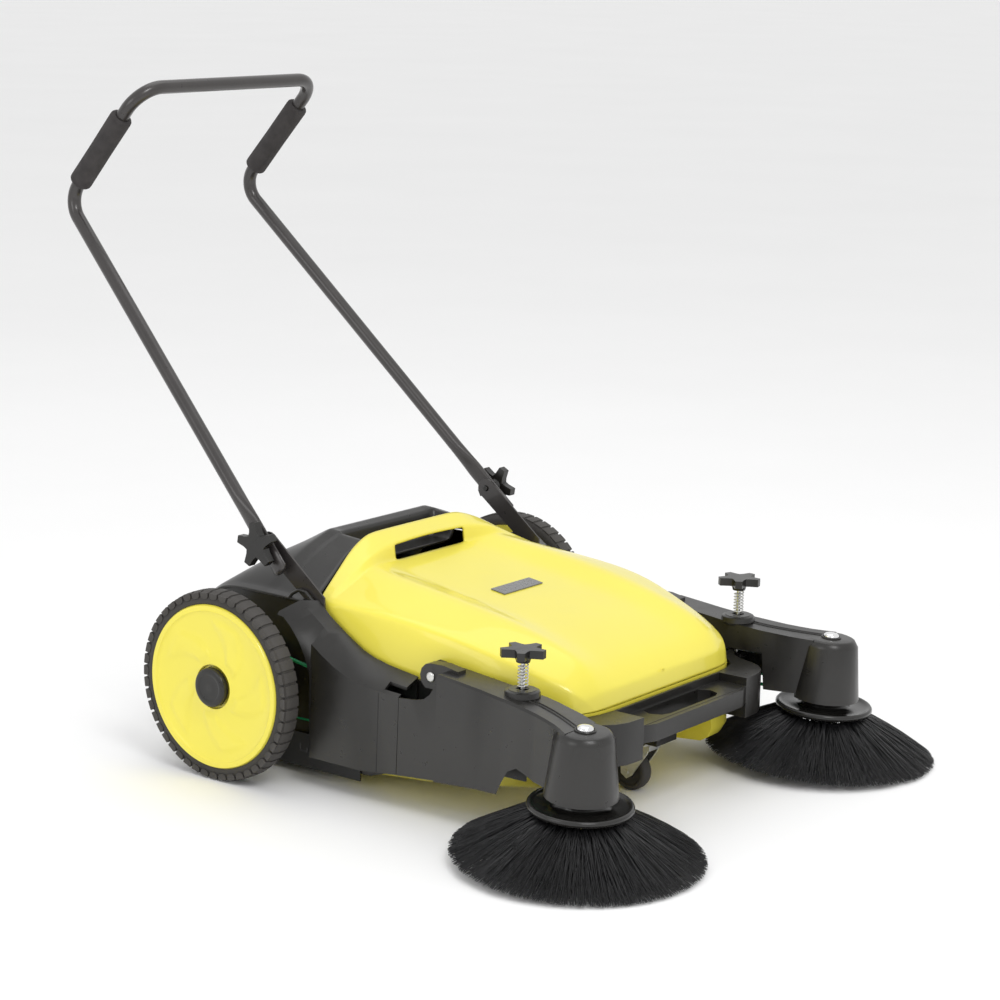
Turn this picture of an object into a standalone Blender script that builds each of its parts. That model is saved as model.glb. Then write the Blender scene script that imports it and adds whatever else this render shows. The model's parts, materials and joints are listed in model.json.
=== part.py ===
"""Walk-behind push sweeper with two side brushes, one main roller and a lift-out dirt container.

Every length below is in millimetres; the mesh helpers turn them into metres. +X is the left side
as seen by the person who pushes the machine, -Y is the front, +Z is up, and z = 0 is the floor.
The origin is at the middle of the machine's footprint. side is -1 for the right and +1 for the left.
"""

import math

import bmesh
import bpy
from mathutils import Matrix, Vector

MM = 0.001
SIDES = {"right": -1, "left": 1}
GAP = 0.4  # between pieces that touch

# Wheels and their drive
AXLE_Y, AXLE_Z = 154.5, 132.0
TYRE_R = 132.0
TYRE_IN, TYRE_OUT = 316.0, 347.0
DISC_R = 110.0
DISC_OUT = 349.0
AXLE_R = 7.0
HUB_CAP_R = 27.0
DRUM_IN, DRUM_OUT = 250.0, 311.0
DRUM_R = 49.0
BELT_X = 268.0
BELT_R = 2.6
DRUM_BELT_R = 46.5
GEAR_MODULE = 2.0
RING_TEETH, PINION_TEETH = 36, 12
RING_WIDTH = 12.0

# Main roller
ROLLER_Z = 113.0
ROLLER_R = 112.4
ROLLER_HALF = 235.0
ROLLER_CORE_R = 27.0
ROLLER_SHAFT_R = 6.0
GEAR_OFFSET = GEAR_MODULE * (RING_TEETH - PINION_TEETH) / 2
ROLLER_Y = AXLE_Y + math.sqrt(GEAR_OFFSET**2 - (AXLE_Z - ROLLER_Z) ** 2)

# Chassis
PLATE_IN, PLATE_OUT = 241.5, 245.0
COVER_TOP, COVER_FOOT = 286.5, 290.0
COVER_WALL = 3.0
CREST_X = 268.0
ARCH_R = 126.0
HOUSING_WALL = 3.0

# Container
BASE_FRONT_Y, BASE_FRONT_Z = -348.0, 48.5
BASE_REAR_Y, BASE_REAR_Z = 42.0, 12.0
PARTING_Z = 151.0
SHELL = 3.0
TUNNEL_HALF, TUNNEL_Z, TUNNEL_Y = 120.0, 92.0, -218.0

# Arms and side brushes
ARM_HINGE_Y, ARM_HINGE_Z = -158.5, 188.0
ARM_IN, ARM_TOP, ARM_FOOT = 235.5, 286.0, 290.0
ARM_WALL = 3.0
EAR_IN, EAR_OUT, EAR_R = 249.0, 266.0, 18.5
PIN_R = 4.0
BRUSH_X, BRUSH_Y, BRUSH_Z = 293.5, -420.0, 10.7
BRUSH_TILT = math.radians(3.5)
BRUSH_LEAN = math.radians(24.0)
BRUSH_R = 167.0
ROD_X, ROD_Y, ROD_R = 255.5, -300.0, 3.0
KNOB_Z = 233.0
BOSS_R = 24.0
PULLEY_R = 27.0
PULLEY_HEIGHT = 88.5
GUIDE_X, GUIDE_Y, GUIDE_R = 285.0, -352.0, 5.0
WELD_DISTANCE = 0.00002

# Handle
HINGE_X, HINGE_Y, HINGE_Z = 251.5, 146.0, 317.0
HINGE_HOLE_R = 4.4
TUBE_R = 9.8
KNEE = (185.6, 590.3, 745.0)
TOP_CORNER = (187.3, 442.0, 914.0)
KNEE_BEND, TOP_BEND = 35.0, 42.0
TAIL = 50.0
GRIP_R = 16.5
BAR_HALF = 14.0

# Front caster
CASTER_Y, CASTER_R, CASTER_TRAIL = -300.0, 27.0, 22.0


# --- Materials -------------------------------------------------------------------------------


def material(name, colour, roughness, metallic=0.0):
    mat = bpy.data.materials.new(name)
    mat.use_nodes = True
    shader = mat.node_tree.nodes["Principled BSDF"]
    shader.inputs["Base Color"].default_value = (*colour, 1.0)
    shader.inputs["Roughness"].default_value = roughness
    shader.inputs["Metallic"].default_value = metallic
    mat.diffuse_color = (*colour, 1.0)
    return mat


def finishes():
    return {
        "yellow": material("yellow_plastic", (0.93, 0.84, 0.10), 0.38),
        "black": material("black_plastic", (0.028, 0.027, 0.025), 0.50),
        "tyre": material("tyre_rubber", (0.035, 0.032, 0.029), 0.75),
        "rubber": material("strip_rubber", (0.02, 0.02, 0.02), 0.70),
        "foam": material("grip_foam", (0.03, 0.028, 0.028), 0.90),
        "paint": material("dark_paint", (0.06, 0.055, 0.055), 0.35, 0.3),
        "steel": material("zinc_steel", (0.70, 0.70, 0.68), 0.30, 1.0),
        "chrome": material("chrome", (0.85, 0.85, 0.85), 0.12, 1.0),
        "bristle": material("bristle", (0.02, 0.02, 0.02), 0.60),
        "belt": material("green_belt", (0.02, 0.35, 0.16), 0.45),
        "label": material("label", (0.30, 0.30, 0.30), 0.35),
    }


# --- Mesh helpers ----------------------------------------------------------------------------


def clear_scene():
    for obj in list(bpy.data.objects):
        bpy.data.objects.remove(obj, do_unlink=True)


def make_object(name, bm, mat, pivot=(0, 0, 0)):
    """Turn a bmesh in millimetres into an object in metres whose origin is at pivot."""
    bmesh.ops.recalc_face_normals(bm, faces=bm.faces)
    bmesh.ops.translate(bm, vec=-Vector(pivot), verts=bm.verts)
    bmesh.ops.scale(bm, vec=(MM, MM, MM), verts=bm.verts)
    mesh = bpy.data.meshes.new(name)
    bm.to_mesh(mesh)
    bm.free()
    mesh.materials.append(mat)
    mesh.shade_smooth()
    mesh.set_sharp_from_angle(angle=math.radians(35))
    obj = bpy.data.objects.new(name, mesh)
    obj.location = Vector(pivot) * MM
    bpy.context.scene.collection.objects.link(obj)
    return obj


def tool_object(name, bm, mat):
    """A hidden shape that a Boolean joins to a piece or cuts from it."""
    obj = make_object(name, bm, mat)
    obj.hide_render = True
    obj.display_type = "WIRE"
    return obj


def boolean(obj, bm, operation, mat):
    tool = tool_object(f"tool_{obj.name}_{len(obj.modifiers)}", bm, mat)
    mod = obj.modifiers.new(f"{operation.lower()}_{len(obj.modifiers)}", "BOOLEAN")
    mod.operation = operation
    mod.solver = "EXACT"
    mod.object = tool


def cut(obj, bm):
    boolean(obj, bm, "DIFFERENCE", obj.data.materials[0])


def join(obj, bm):
    boolean(obj, bm, "UNION", obj.data.materials[0])


def loft(rings, closed=False):
    """Bridge rings of points into a solid; caps close the two ends unless the rings form a loop."""
    bm = bmesh.new()
    rows = [[bm.verts.new(p) for p in ring] for ring in rings]
    count = len(rows[0])
    pairs = list(zip(rows, rows[1:]))
    if closed:
        pairs.append((rows[-1], rows[0]))
    for here, there in pairs:
        for i in range(count):
            j = (i + 1) % count
            bm.faces.new((here[i], here[j], there[j], there[i]))
    if not closed:
        bm.faces.new(rows[0])
        bm.faces.new(list(reversed(rows[-1])))
    return bm


def prism_x(outline, x0, x1):
    """An outline of (y, z) points drawn out along X."""
    return loft([[(x, y, z) for y, z in outline] for x in (x0, x1)])


def prism_z(outline, z0, z1):
    """An outline of (x, y) points drawn out along Z."""
    return loft([[(x, y, z) for x, y in outline] for z in (z0, z1)])


def block(low, high):
    (x0, y0, z0), (x1, y1, z1) = low, high
    return prism_z([(x0, y0), (x1, y0), (x1, y1), (x0, y1)], z0, z1)


def cross_axes(axis):
    """Two unit vectors at right angles to axis and to each other."""
    w = Vector(axis).normalized()
    u = w.orthogonal().normalized()
    return u, w.cross(u), w


def turned(profile, centre, axis, steps=32):
    """Spin a closed profile of (radius, height) points about an axis through centre."""
    bm = bmesh.new()
    u, v, w = cross_axes(axis)
    centre = Vector(centre)
    rings = []
    for radius, height in profile:
        base = centre + w * height
        if radius < 1e-6:
            rings.append([bm.verts.new(base)] * steps)
            continue
        turns = (2 * math.pi * k / steps for k in range(steps))
        rings.append([bm.verts.new(base + (u * math.cos(t) + v * math.sin(t)) * radius) for t in turns])
    for here, there in zip(rings, rings[1:] + rings[:1]):
        for k in range(steps):
            j = (k + 1) % steps
            corners = list(dict.fromkeys((here[k], here[j], there[j], there[k])))
            if len(corners) > 2:
                bm.faces.new(corners)
    return bm


def rod(start, end, radius, steps=16):
    start, end = Vector(start), Vector(end)
    length = (end - start).length
    profile = [(0, 0), (radius, 0), (radius, length), (0, length)]
    return turned(profile, start, end - start, steps)


def tube_rings(points, radius, steps, flatten=None, closed=False):
    """Rings round a path, carried along it without twist. flatten(i) gives width and depth factors."""
    points = [Vector(p) for p in points]
    count = len(points)
    normal = None
    rings = []
    for i, point in enumerate(points):
        before = points[i - 1] if closed or i else point
        after = points[(i + 1) % count] if closed or i < count - 1 else point
        tangent = (after - before).normalized()
        side = Vector((1, 0, 0)) if normal is None else normal
        normal = (side - tangent * side.dot(tangent)).normalized()
        other = tangent.cross(normal)
        wide, deep = flatten(i) if flatten else (1.0, 1.0)
        turns = (2 * math.pi * k / steps for k in range(steps))
        thick, broad = normal * radius * deep, other * radius * wide
        rings.append([point + thick * math.cos(t) + broad * math.sin(t) for t in turns])
    return rings


def rounded_path(corners, radii, arc_steps=6):
    """A path through corners, each inner one replaced by an arc of its radius."""
    corners = [Vector(c) for c in corners]
    path = [corners[0]]
    for before, corner, after, radius in zip(corners, corners[1:], corners[2:], radii):
        a = (before - corner).normalized()
        b = (after - corner).normalized()
        half = a.angle(b) / 2
        centre = corner + (a + b).normalized() * radius / math.sin(half)
        first = corner + a * radius / math.tan(half) - centre
        last = corner + b * radius / math.tan(half) - centre
        axis = first.cross(last)
        sweep = first.angle(last)
        for k in range(arc_steps + 1):
            path.append(centre + Matrix.Rotation(sweep * k / arc_steps, 3, axis) @ first)
    path.append(corners[-1])
    return path


def at(points, value):
    """Read a line drawn through (value, height) points, given in rising order."""
    if value <= points[0][0]:
        return points[0][1]
    for (a, low), (b, high) in zip(points, points[1:]):
        if value <= b:
            return low + (high - low) * (value - a) / (b - a)
    return points[-1][1]


def ellipse_arc(centre, radius, start, end, steps):
    """Points of an arc in a plane, angles in degrees."""
    turns = (math.radians(start + (end - start) * k / steps) for k in range(steps + 1))
    return [(centre[0] + radius * math.cos(t), centre[1] + radius * math.sin(t)) for t in turns]


def star_knob(centre, axis, lobes=5, tip=31.0, waist=16.5, thick=12.0, hub=9.0, stem=9.0, turn=0.0):
    """A clamping knob: a star with a short hub below it, along axis from centre."""
    u, v, w = cross_axes(axis)
    corners = [(-0.13, tip - 1.0), (0.13, tip - 1.0), (0.30, waist + 3.5), (0.5, waist), (0.70, waist + 3.5)]
    flat = []
    for k in range(lobes):
        for part, radius in corners:
            t = 2 * math.pi * (k + part + turn) / lobes
            flat.append((u * math.cos(t) + v * math.sin(t)) * radius)
    low, high = Vector(centre) + w * stem, Vector(centre) + w * (stem + thick)
    star = loft([[low + p for p in flat], [high + p for p in flat]])
    stub = turned([(0, 0), (hub, 0), (hub + 3, stem + 2), (0, stem + 2)], centre, axis, 12)
    return star, stub


# --- Wheels and roller -----------------------------------------------------------------------


def involute(base, radius, half_angle, side):
    """A point of a tooth flank, at radius, whose half thickness at the base circle is half_angle."""
    t = math.sqrt(max((radius / base) ** 2 - 1, 0.0))
    turn = half_angle - (t - math.atan(t))
    return side * turn, radius


def gear_outline(teeth, root, tip, play, steps=3):
    """A spur gear's outline as (angle, radius) points; play thins each tooth at the pitch circle."""
    pitch = GEAR_MODULE * teeth / 2
    pressure = math.radians(20)
    base = pitch * math.cos(pressure)
    half = math.pi / (2 * teeth) - play / (2 * pitch) + math.tan(pressure) - pressure
    low = max(base, root)
    radii = [low + (tip - low) * k / steps for k in range(steps + 1)]
    outline = []
    for k in range(teeth):
        middle = 2 * math.pi * k / teeth
        rise = [involute(base, r, half, -1) for r in radii]
        fall = [involute(base, r, half, 1) for r in reversed(radii)]
        foot = [(rise[0][0], root)] if root < base - 0.05 else []
        heel = [(fall[-1][0], root)] if root < base - 0.05 else []
        outline += [(middle + a, r) for a, r in foot + rise + fall + heel]
    return outline


def gear_ring(outline, x, y, z, phase=0.0):
    """Gear points in a plane square to X."""
    return [Vector((x, y + r * math.cos(a + phase), z + r * math.sin(a + phase))) for a, r in outline]


def mesh_phase():
    """The direction from the axle to the roller's axis, which is also the line the teeth meet on."""
    return math.atan2(ROLLER_Z - AXLE_Z, ROLLER_Y - AXLE_Y)


def make_wheel(name, side, mats):
    axis, centre = (side, 0, 0), (0, AXLE_Y, AXLE_Z)
    tyre = [
        (114, TYRE_IN + 2), (121, TYRE_IN), (TYRE_R, TYRE_IN + 6), (TYRE_R, TYRE_OUT - 9),
        (128, TYRE_OUT - 2), (121, TYRE_OUT), (114, TYRE_OUT - 1),
    ]
    make_object(f"tyre_{name}", turned(tyre, centre, axis, 40), mats["tyre"], centre)
    rim, bore = 114 - GAP, AXLE_R + GAP
    disc = [
        (rim, TYRE_IN + 4), (rim, DISC_OUT - 3), (DISC_R, DISC_OUT), (104, DISC_OUT - 3), (60, DISC_OUT - 8),
        (31, DISC_OUT - 5), (30, DISC_OUT - 12), (bore, DISC_OUT - 12), (bore, DRUM_OUT + GAP),
        (26, DRUM_OUT + GAP), (104, DISC_OUT - 11), (104, TYRE_IN + 4),
    ]
    make_object(f"wheel_disc_{name}", turned(disc, centre, axis, 32), mats["yellow"], centre)
    cap = [(0, 355), (14, 354), (23, 351.5), (HUB_CAP_R, 347), (HUB_CAP_R, 345), (24, 345), (0, 350)]
    make_object(f"hub_cap_{name}", turned(cap, centre, axis, 16), mats["black"], centre)
    make_drum(name, side, mats)


def make_drum(name, side, mats):
    """Belt pulley with, on the right wheel, an internal ring gear in its mouth."""
    axis, centre = (side, 0, 0), (0, AXLE_Y, AXLE_Z)
    pitch = GEAR_MODULE * RING_TEETH / 2
    bore, hollow = AXLE_R + GAP, pitch + 2.6
    throat = hollow if side > 0 else pitch - 2.5
    groove = DRUM_BELT_R - BELT_R - 2 * GAP
    mouth = DRUM_IN + RING_WIDTH
    drum = [
        (throat, DRUM_IN), (DRUM_R - 4, DRUM_IN), (DRUM_R, BELT_X - 5), (groove, BELT_X - 3),
        (groove, BELT_X + 3), (DRUM_R, BELT_X + 5), (DRUM_R, BELT_X + 8), (24, DRUM_OUT), (bore, DRUM_OUT),
        (bore, mouth + 4), (hollow, mouth + 4), (hollow, mouth), (throat, mouth),
    ]
    if side > 0:
        del drum[-2:]
    obj = make_object(f"drive_drum_{name}", turned(drum, centre, axis, 28), mats["black"], centre)
    if side < 0:
        teeth = gear_outline(RING_TEETH, pitch - 1.1, pitch + 2.3, -0.3, 1)
        ends = (DRUM_IN - 5, mouth + 2)
        cut(obj, loft([gear_ring(teeth, side * x, AXLE_Y, AXLE_Z, mesh_phase()) for x in ends]))


def make_axle(name, side, mats):
    """Stub axle bolted through the side plate, with its outer washer face under the hub cap."""
    profile = [
        (0, PLATE_OUT + GAP), (13, PLATE_OUT + GAP), (13, PLATE_OUT + 4), (AXLE_R, PLATE_OUT + 4),
        (AXLE_R, DISC_OUT - 11.6), (12, DISC_OUT - 11.6), (12, DISC_OUT - 8), (0, DISC_OUT - 8),
    ]
    make_object(f"stub_axle_{name}", turned(profile, (0, AXLE_Y, AXLE_Z), (side, 0, 0), 12), mats["steel"])


def make_roller(mats):
    centre = (0, ROLLER_Y, ROLLER_Z)
    shaft = DRUM_IN + RING_WIDTH - 2
    core = [
        (0, -shaft), (ROLLER_SHAFT_R, -shaft), (ROLLER_SHAFT_R, -ROLLER_HALF - 2),
        (ROLLER_CORE_R, -ROLLER_HALF), (ROLLER_CORE_R, ROLLER_HALF), (ROLLER_SHAFT_R, ROLLER_HALF + 2),
        (ROLLER_SHAFT_R, PLATE_OUT + 4), (0, PLATE_OUT + 4),
    ]
    make_object("roller_core", turned(core, centre, (1, 0, 0), 14), mats["black"], centre)
    make_object("roller_bristles", roller_brush(), mats["bristle"], centre)
    for name, side in SIDES.items():
        bush = [
            (ROLLER_SHAFT_R + GAP, PLATE_IN - 3), (13, PLATE_IN - 3), (13, PLATE_IN - GAP),
            (10, PLATE_IN - GAP), (10, PLATE_OUT + 2), (ROLLER_SHAFT_R + GAP, PLATE_OUT + 2),
        ]
        make_object(f"roller_bearing_{name}", turned(bush, centre, (side, 0, 0), 10), mats["steel"])
    pitch = GEAR_MODULE * PINION_TEETH / 2
    teeth = gear_outline(PINION_TEETH, pitch - 2.3, pitch + 1.6, 0.3, 1)
    ends = [gear_ring(teeth, x, ROLLER_Y, ROLLER_Z, mesh_phase())
            for x in (-DRUM_IN - GAP, -DRUM_IN - RING_WIDTH + 1)]
    pinion = make_object("drive_pinion", loft(ends), mats["steel"], centre)
    bore = rod((-DRUM_IN + 5, ROLLER_Y, ROLLER_Z), (-DRUM_IN - RING_WIDTH - 5, ROLLER_Y, ROLLER_Z),
               ROLLER_SHAFT_R + GAP, 24)
    cut(pinion, bore)


def roller_brush(rows=6, stations=8):
    """Bristles in rows that wind in a shallow V from the middle of the roller to its ends."""
    rings = []
    inner = ROLLER_CORE_R + GAP
    steps = rows * 4
    for k in range(stations + 1):
        x = -ROLLER_HALF + 2 * ROLLER_HALF * k / stations
        twist = math.radians(40) * abs(x) / ROLLER_HALF
        ring = []
        for s in range(steps):
            radius = (ROLLER_R, ROLLER_R, ROLLER_R - 14, ROLLER_R - 14)[s % 4]
            t = 2 * math.pi * s / steps + twist
            ring.append(Vector((x, ROLLER_Y + radius * math.cos(t), ROLLER_Z + radius * math.sin(t))))
        rings.append(ring)
    bores = []
    for x in (ROLLER_HALF, -ROLLER_HALF):
        turns = (2 * math.pi * s / steps for s in range(steps))
        circle = ((ROLLER_Y + inner * math.cos(t), ROLLER_Z + inner * math.sin(t)) for t in turns)
        bores.append([Vector((x, y, z)) for y, z in circle])
    return loft(rings + bores, closed=True)


# --- Chassis ---------------------------------------------------------------------------------

# Top edges of the side of the chassis, as (y, z) from front to rear: its outer edge, the crest of its
# shoulder, and the edge beside the container.
OUTER_EDGE = [
    (-121, 158), (-76, 159), (-55, 162), (-29, 169), (-8, 178), (13, 190), (51, 216), (78, 236), (89, 238),
]
CREST_EDGE = [
    (-121, 168), (-86, 172), (-65, 174), (-39, 185), (-13, 198), (9, 211), (30, 227), (50, 241), (68, 253),
]
INNER_EDGE = [
    (-121, 177), (-90, 181), (-55, 186), (-29, 195), (-2, 210), (15, 221), (33, 233), (53, 251),
]


def arch(y):
    """Height of the wheel arch above the floor at y."""
    return AXLE_Z + math.sqrt(ARCH_R**2 - (AXLE_Y - y) ** 2)


def make_side_cover(name, side, mats):
    """Outer cover of the chassis side: a channel that is open below and ends at the wheel arch."""
    inner, wall, front = PLATE_OUT + GAP, COVER_WALL, -121.0
    ends = (89.0, 68.0, 53.0)
    rings = []
    for y in (-121, -90, -60, -29, -8, 13, 30.4, 31, 40, 51, 65, 78, 89):
        share = (y - front) / (ends[0] - front)
        crest_y, inner_y = (front + share * (end - front) for end in ends[1:])
        outer, crest, edge = at(OUTER_EDGE, y), at(CREST_EDGE, crest_y), at(INNER_EDGE, inner_y)
        low = at([(-121, 52), (-60, 45), (30, 45)], y) if y < 31 else min(arch(y), outer - wall - 1)
        profile = [
            (COVER_FOOT, y, low), (COVER_TOP, y, outer), (CREST_X, crest_y, crest), (inner, inner_y, edge),
            (inner, inner_y, edge - 34), (inner + wall, inner_y, edge - 34),
            (inner + wall, inner_y, edge - wall),
            (CREST_X - 1, crest_y, crest - wall - 0.5), (COVER_TOP - wall, y, outer - wall),
            (COVER_FOOT - wall, y, low),
        ]
        rings.append([Vector((side * a, b, c)) for a, b, c in profile])
    cover = make_object(f"side_cover_{name}", loft(rings), mats["black"])
    cut(cover, block_on(side, (269.5, -130, 120), (281.5, -93, 200)))


def block_on(side, low, high):
    """A block given on the left side, mirrored to the right where side is -1."""
    (x0, y0, z0), (x1, y1, z1) = low, high
    return block((min(side * x0, side * x1), y0, z0), (max(side * x0, side * x1), y1, z1))


def make_side_plate(name, side, mats):
    """Inner wall that closes the roller chamber, carries the axle and runs forward to the bumper."""
    ear = ellipse_arc((ARM_HINGE_Y, ARM_HINGE_Z), EAR_R, 200, -10, 7)
    outline = [(-300, 70), (-300, 138), (-200, 147), (-184, 158)] + ear + [
        (-126, 172), (-90, 176), (-55, 181), (-29, 190), (-2, 205), (15, 216), (33, 228), (50, 240),
        (62, 243), (86, 244.5), (212, 244.5), (240, 236), (262, 212), (282, 180), (292, 145), (294, 76),
        (294, 40), (0, 22),
        (-40, 22), (-62, 30), (-78, 46), (-84, 66),
    ]
    x0, x1 = side * PLATE_IN, side * PLATE_OUT
    plate = make_object(f"side_plate_{name}", prism_x(outline, x0, x1), mats["black"])
    join(plate, block_on(side, (PLATE_IN + 1, ROD_Y + 1, 136), (ROD_X + 10, ROD_Y + 12, 142)))
    join(plate, block_on(side, (PLATE_OUT + 1.5, ROD_Y - 12, 136), (ROD_X + 10, ROD_Y + 4, 142)))
    for y, z, radius in ((ROLLER_Y, ROLLER_Z, 10 + GAP), (ARM_HINGE_Y, ARM_HINGE_Z, PIN_R + GAP)):
        cut(plate, rod((side * (PLATE_IN - 5), y, z), (side * (PLATE_OUT + 5), y, z), radius, 20))
    cut(plate, rod((side * ROD_X, ROD_Y, 130), (side * ROD_X, ROD_Y, 150), ROD_R + GAP))


def make_housing(mats):
    """Curved cover over the roller, with a hand hollow in its top behind the container's grip."""
    columns = [0, 92, 106, 150, 200, 238, 251]
    front = [93.5, 93.5, 93.5, 86.5, 73, 64.5, 63]
    rows = [
        (front, [273, 273, 306, 292, 268, 250, 247]),
        (130, [273, 273, 309, 294, 270, 251, 248]),
        (138, [308, 309, 311, 296, 271, 251, 248]),
        (156, [312, 312, 312, 298, 273, 252, 248]),
        (200, [288, 288, 288, 284, 270, 251.5, 248]),
        (220, [274, 274, 274, 272, 263, 250, 245]),
        (240, [257, 257, 257, 256, 251, 244, 238]),
        (270, [225, 225, 225, 225, 222, 218, 212]),
        (290, [186, 186, 186, 186, 185, 183, 180]),
        (299, [145, 145, 145, 145, 145, 145, 145]),
        (301, [74, 74, 74, 74, 74, 74, 74]),
    ]
    sections = []
    for y, heights in rows:
        depths = y if y is front else [y] * len(columns)
        half = [Vector(p) for p in zip(columns, depths, heights)]
        sections.append([Vector((-p.x, p.y, p.z)) for p in reversed(half[1:])] + half)
    housing = make_shell("rear_housing", sections, HOUSING_WALL, mats["black"])
    for side in SIDES.values():
        cut(housing, block_on(side, (PLATE_IN - 0.4, 50, 230), (PLATE_OUT + 0.4, 104, 262)))


def make_shell(name, sections, wall, mat, holes=()):
    """A sheet through rows of points, thickened inward; holes lists (row, column) faces left out."""
    bm = bmesh.new()
    rows = [[bm.verts.new(p) for p in row] for row in sections]
    for i, (here, there) in enumerate(zip(rows, rows[1:])):
        for j in range(len(here) - 1):
            if (i, j) not in holes:
                bm.faces.new((here[j], here[j + 1], there[j + 1], there[j]))
    bmesh.ops.recalc_face_normals(bm, faces=bm.faces)
    top = max(bm.faces, key=lambda face: face.calc_center_median().z)
    if top.normal.z < 0:
        bmesh.ops.reverse_faces(bm, faces=bm.faces)
    bmesh.ops.scale(bm, vec=(MM, MM, MM), verts=bm.verts)
    mesh = bpy.data.meshes.new(name)
    bm.to_mesh(mesh)
    bm.free()
    mesh.materials.append(mat)
    mesh.shade_smooth()
    obj = bpy.data.objects.new(name, mesh)
    bpy.context.scene.collection.objects.link(obj)
    thick = obj.modifiers.new("wall", "SOLIDIFY")
    thick.thickness = wall * MM
    thick.offset = -1.0
    thick.use_even_offset = True
    return obj


def mirrored(outline):
    """Close a left-hand outline of (x, y) points, given from front to rear, over both sides."""
    return outline + [(-x, y) for x, y in reversed(outline)]


def make_bumper(mats):
    """Front cross member round the container's nose, with a grip slot and the caster's bracket."""
    low, high, top = 92, 149, 138
    outer = [
        (132, -400), (157, -398.5), (176, -391), (190, -378), (199, -361), (206, -338), (216, -322),
        (245, -300.5),
    ]
    inner = [(126, -351.5), (153, -349), (173, -342.5), (189, -328), (200, -303), (208, -280)]
    bumper = make_object("front_bumper", prism_z(mirrored(outer), low, high), mats["black"])
    cut(bumper, prism_z(mirrored(inner), low - 10, high + 10))
    cut(bumper, block((-124, -420, low - 10), (124, -355, top - 25)))
    cut(bumper, block((-124, -420, top), (124, -355, high + 10)))
    join(bumper, prism_z(mirrored([(104, -407), (123, -399.5), (123.5, -390)]), top - 24.5, top - 0.5))
    cut(bumper, prism_z(mirrored([(56, -394), (68, -389), (74, -374), (66, -359)]), low, high + 10))
    pocket = [(136, -396), (158, -394.5), (174, -387), (186, -375), (195, -359), (201, -339), (192, -335),
              (176, -346.5), (154, -353), (136, -354)]
    for side in SIDES.values():
        cut(bumper, prism_z([(side * x, y) for x, y in pocket], low - 5, high - 4))
    join(bumper, block((-24, -354.5, 76), (24, -351.8, 118)))
    join(bumper, block((-24, -354.5, 76), (24, -292, 81.5)))


def make_strips(mats):
    """Rubber strips that close the roller chamber behind and at both ends."""
    make_object("rear_skirt", block((-244, 302, 14), (244, 305, 80)), mats["rubber"])
    for name, side in SIDES.items():
        outline = [(-24, 12), (290, 12), (290, 60), (-20, 60), (-24, 30)]
        x0, x1 = side * (PLATE_OUT + GAP), side * (PLATE_OUT + 3)
        make_object(f"side_strip_{name}", prism_x(outline, x0, x1), mats["rubber"])


# --- Container -------------------------------------------------------------------------------


def make_hood(mats):
    """Upper shell of the dirt container: arched grip at the rear, sunk top panel, rounded nose."""
    low = PARTING_Z + 1.2
    rows = [
        # panel centre, slot end, panel edge, ridge, shoulder, side, foot
        [(91, 314), (91, 314), (91, 313), (84, 298), (61, 250), (58, 226), (44, low)],
        [(60, 304), (60, 300), (58, 297), (55, 290), (50, 250), (48, 222), (42, low)],
        [(57, 277), (57, 277), (55, 279), (46, 282), (40, 249), (38, 216), (36, low)],
    ]
    xs = [0, 78, 105, 145, 235, 239, 240]
    sections = [[Vector((x, y, z)) for x, (y, z) in zip(xs, row)] for row in rows]
    stations = [
        # y, panel, ridge, shoulder x and z, side x
        (20, 268, 278, 235, 248.5, 240),
        (-20, 261, 274.5, 234, 247, 240),
        (-60, 255, 269.5, 233, 245, 240),
        (-100, 249.5, 264, 231, 242.5, 239),
        (-140, 244, 257.5, 227.5, 238, 237),
        (-180, 237.5, 250, 222, 230, 231),
        (-220, 230.5, 241, 213, 218.5, 223),
        (-260, 221, 230.5, 204, 207, 213),
        (-300, 208, 216, 192, 193, 199),
        (-326, 195, 200, 181, 181, 186),
    ]
    for y, panel, ridge, shoulder, shoulder_z, side_x in stations:
        row = [(0, panel), (78, panel), (105, panel + 0.8), (145, ridge), (shoulder, shoulder_z),
               (side_x - 1, shoulder_z - 20), (side_x, low)]
        sections.append([Vector((x, y, z)) for x, z in row])
    nose = [(0, -343, 175), (78, -343, 175), (105, -343, 175), (140, -341.5, 175), (168, -336, 169),
            (179, -331, 162), (181, -330, low)]
    foot = [(0, -347, low), (78, -347, low), (105, -347, low), (135, -346.5, low), (154, -344, low),
            (168, -339.5, low), (176, -334.5, low)]
    sections += [[Vector(p) for p in nose], [Vector(p) for p in foot]]
    full = [[Vector((-p.x, p.y, p.z)) for p in reversed(row[1:])] + row for row in sections]
    middle = len(xs) - 1
    make_shell("container_hood", full, SHELL, mats["yellow"], holes={(1, middle - 1), (1, middle)})


# Outlines of the container seen from above, left half, from front to rear: at its rim, and lower down.
CONTAINER_PLAN = [
    (128, -347), (153, -344.5), (170, -338.5), (184, -325), (197, -300), (220, -232), (240, -140), (240, 42),
]
BELLY_PLAN = [
    (128, -348), (154, -346), (171, -340.5), (185.5, -328.5), (198, -302), (222, -232), (240, -140),
    (240, 42),
]


def inset(plan, depth):
    """The same outline of (x, y) points, pulled in by depth towards the container's middle."""
    return [(x - depth, y + depth if y < 0 else y - depth) for x, y in plan]


def underside(y):
    """Height of the container's sloping underside at y."""
    slope = (BASE_FRONT_Z - BASE_REAR_Z) / (BASE_FRONT_Y - BASE_REAR_Y)
    return BASE_REAR_Z + slope * (y - BASE_REAR_Y)


def sloped(outline, height):
    """Lay an outline parallel to the container's underside, height above it."""
    return [(x, y, underside(y) + height) for x, y in outline]


def level(outline, z):
    return [(x, y, z) for x, y in outline]


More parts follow.
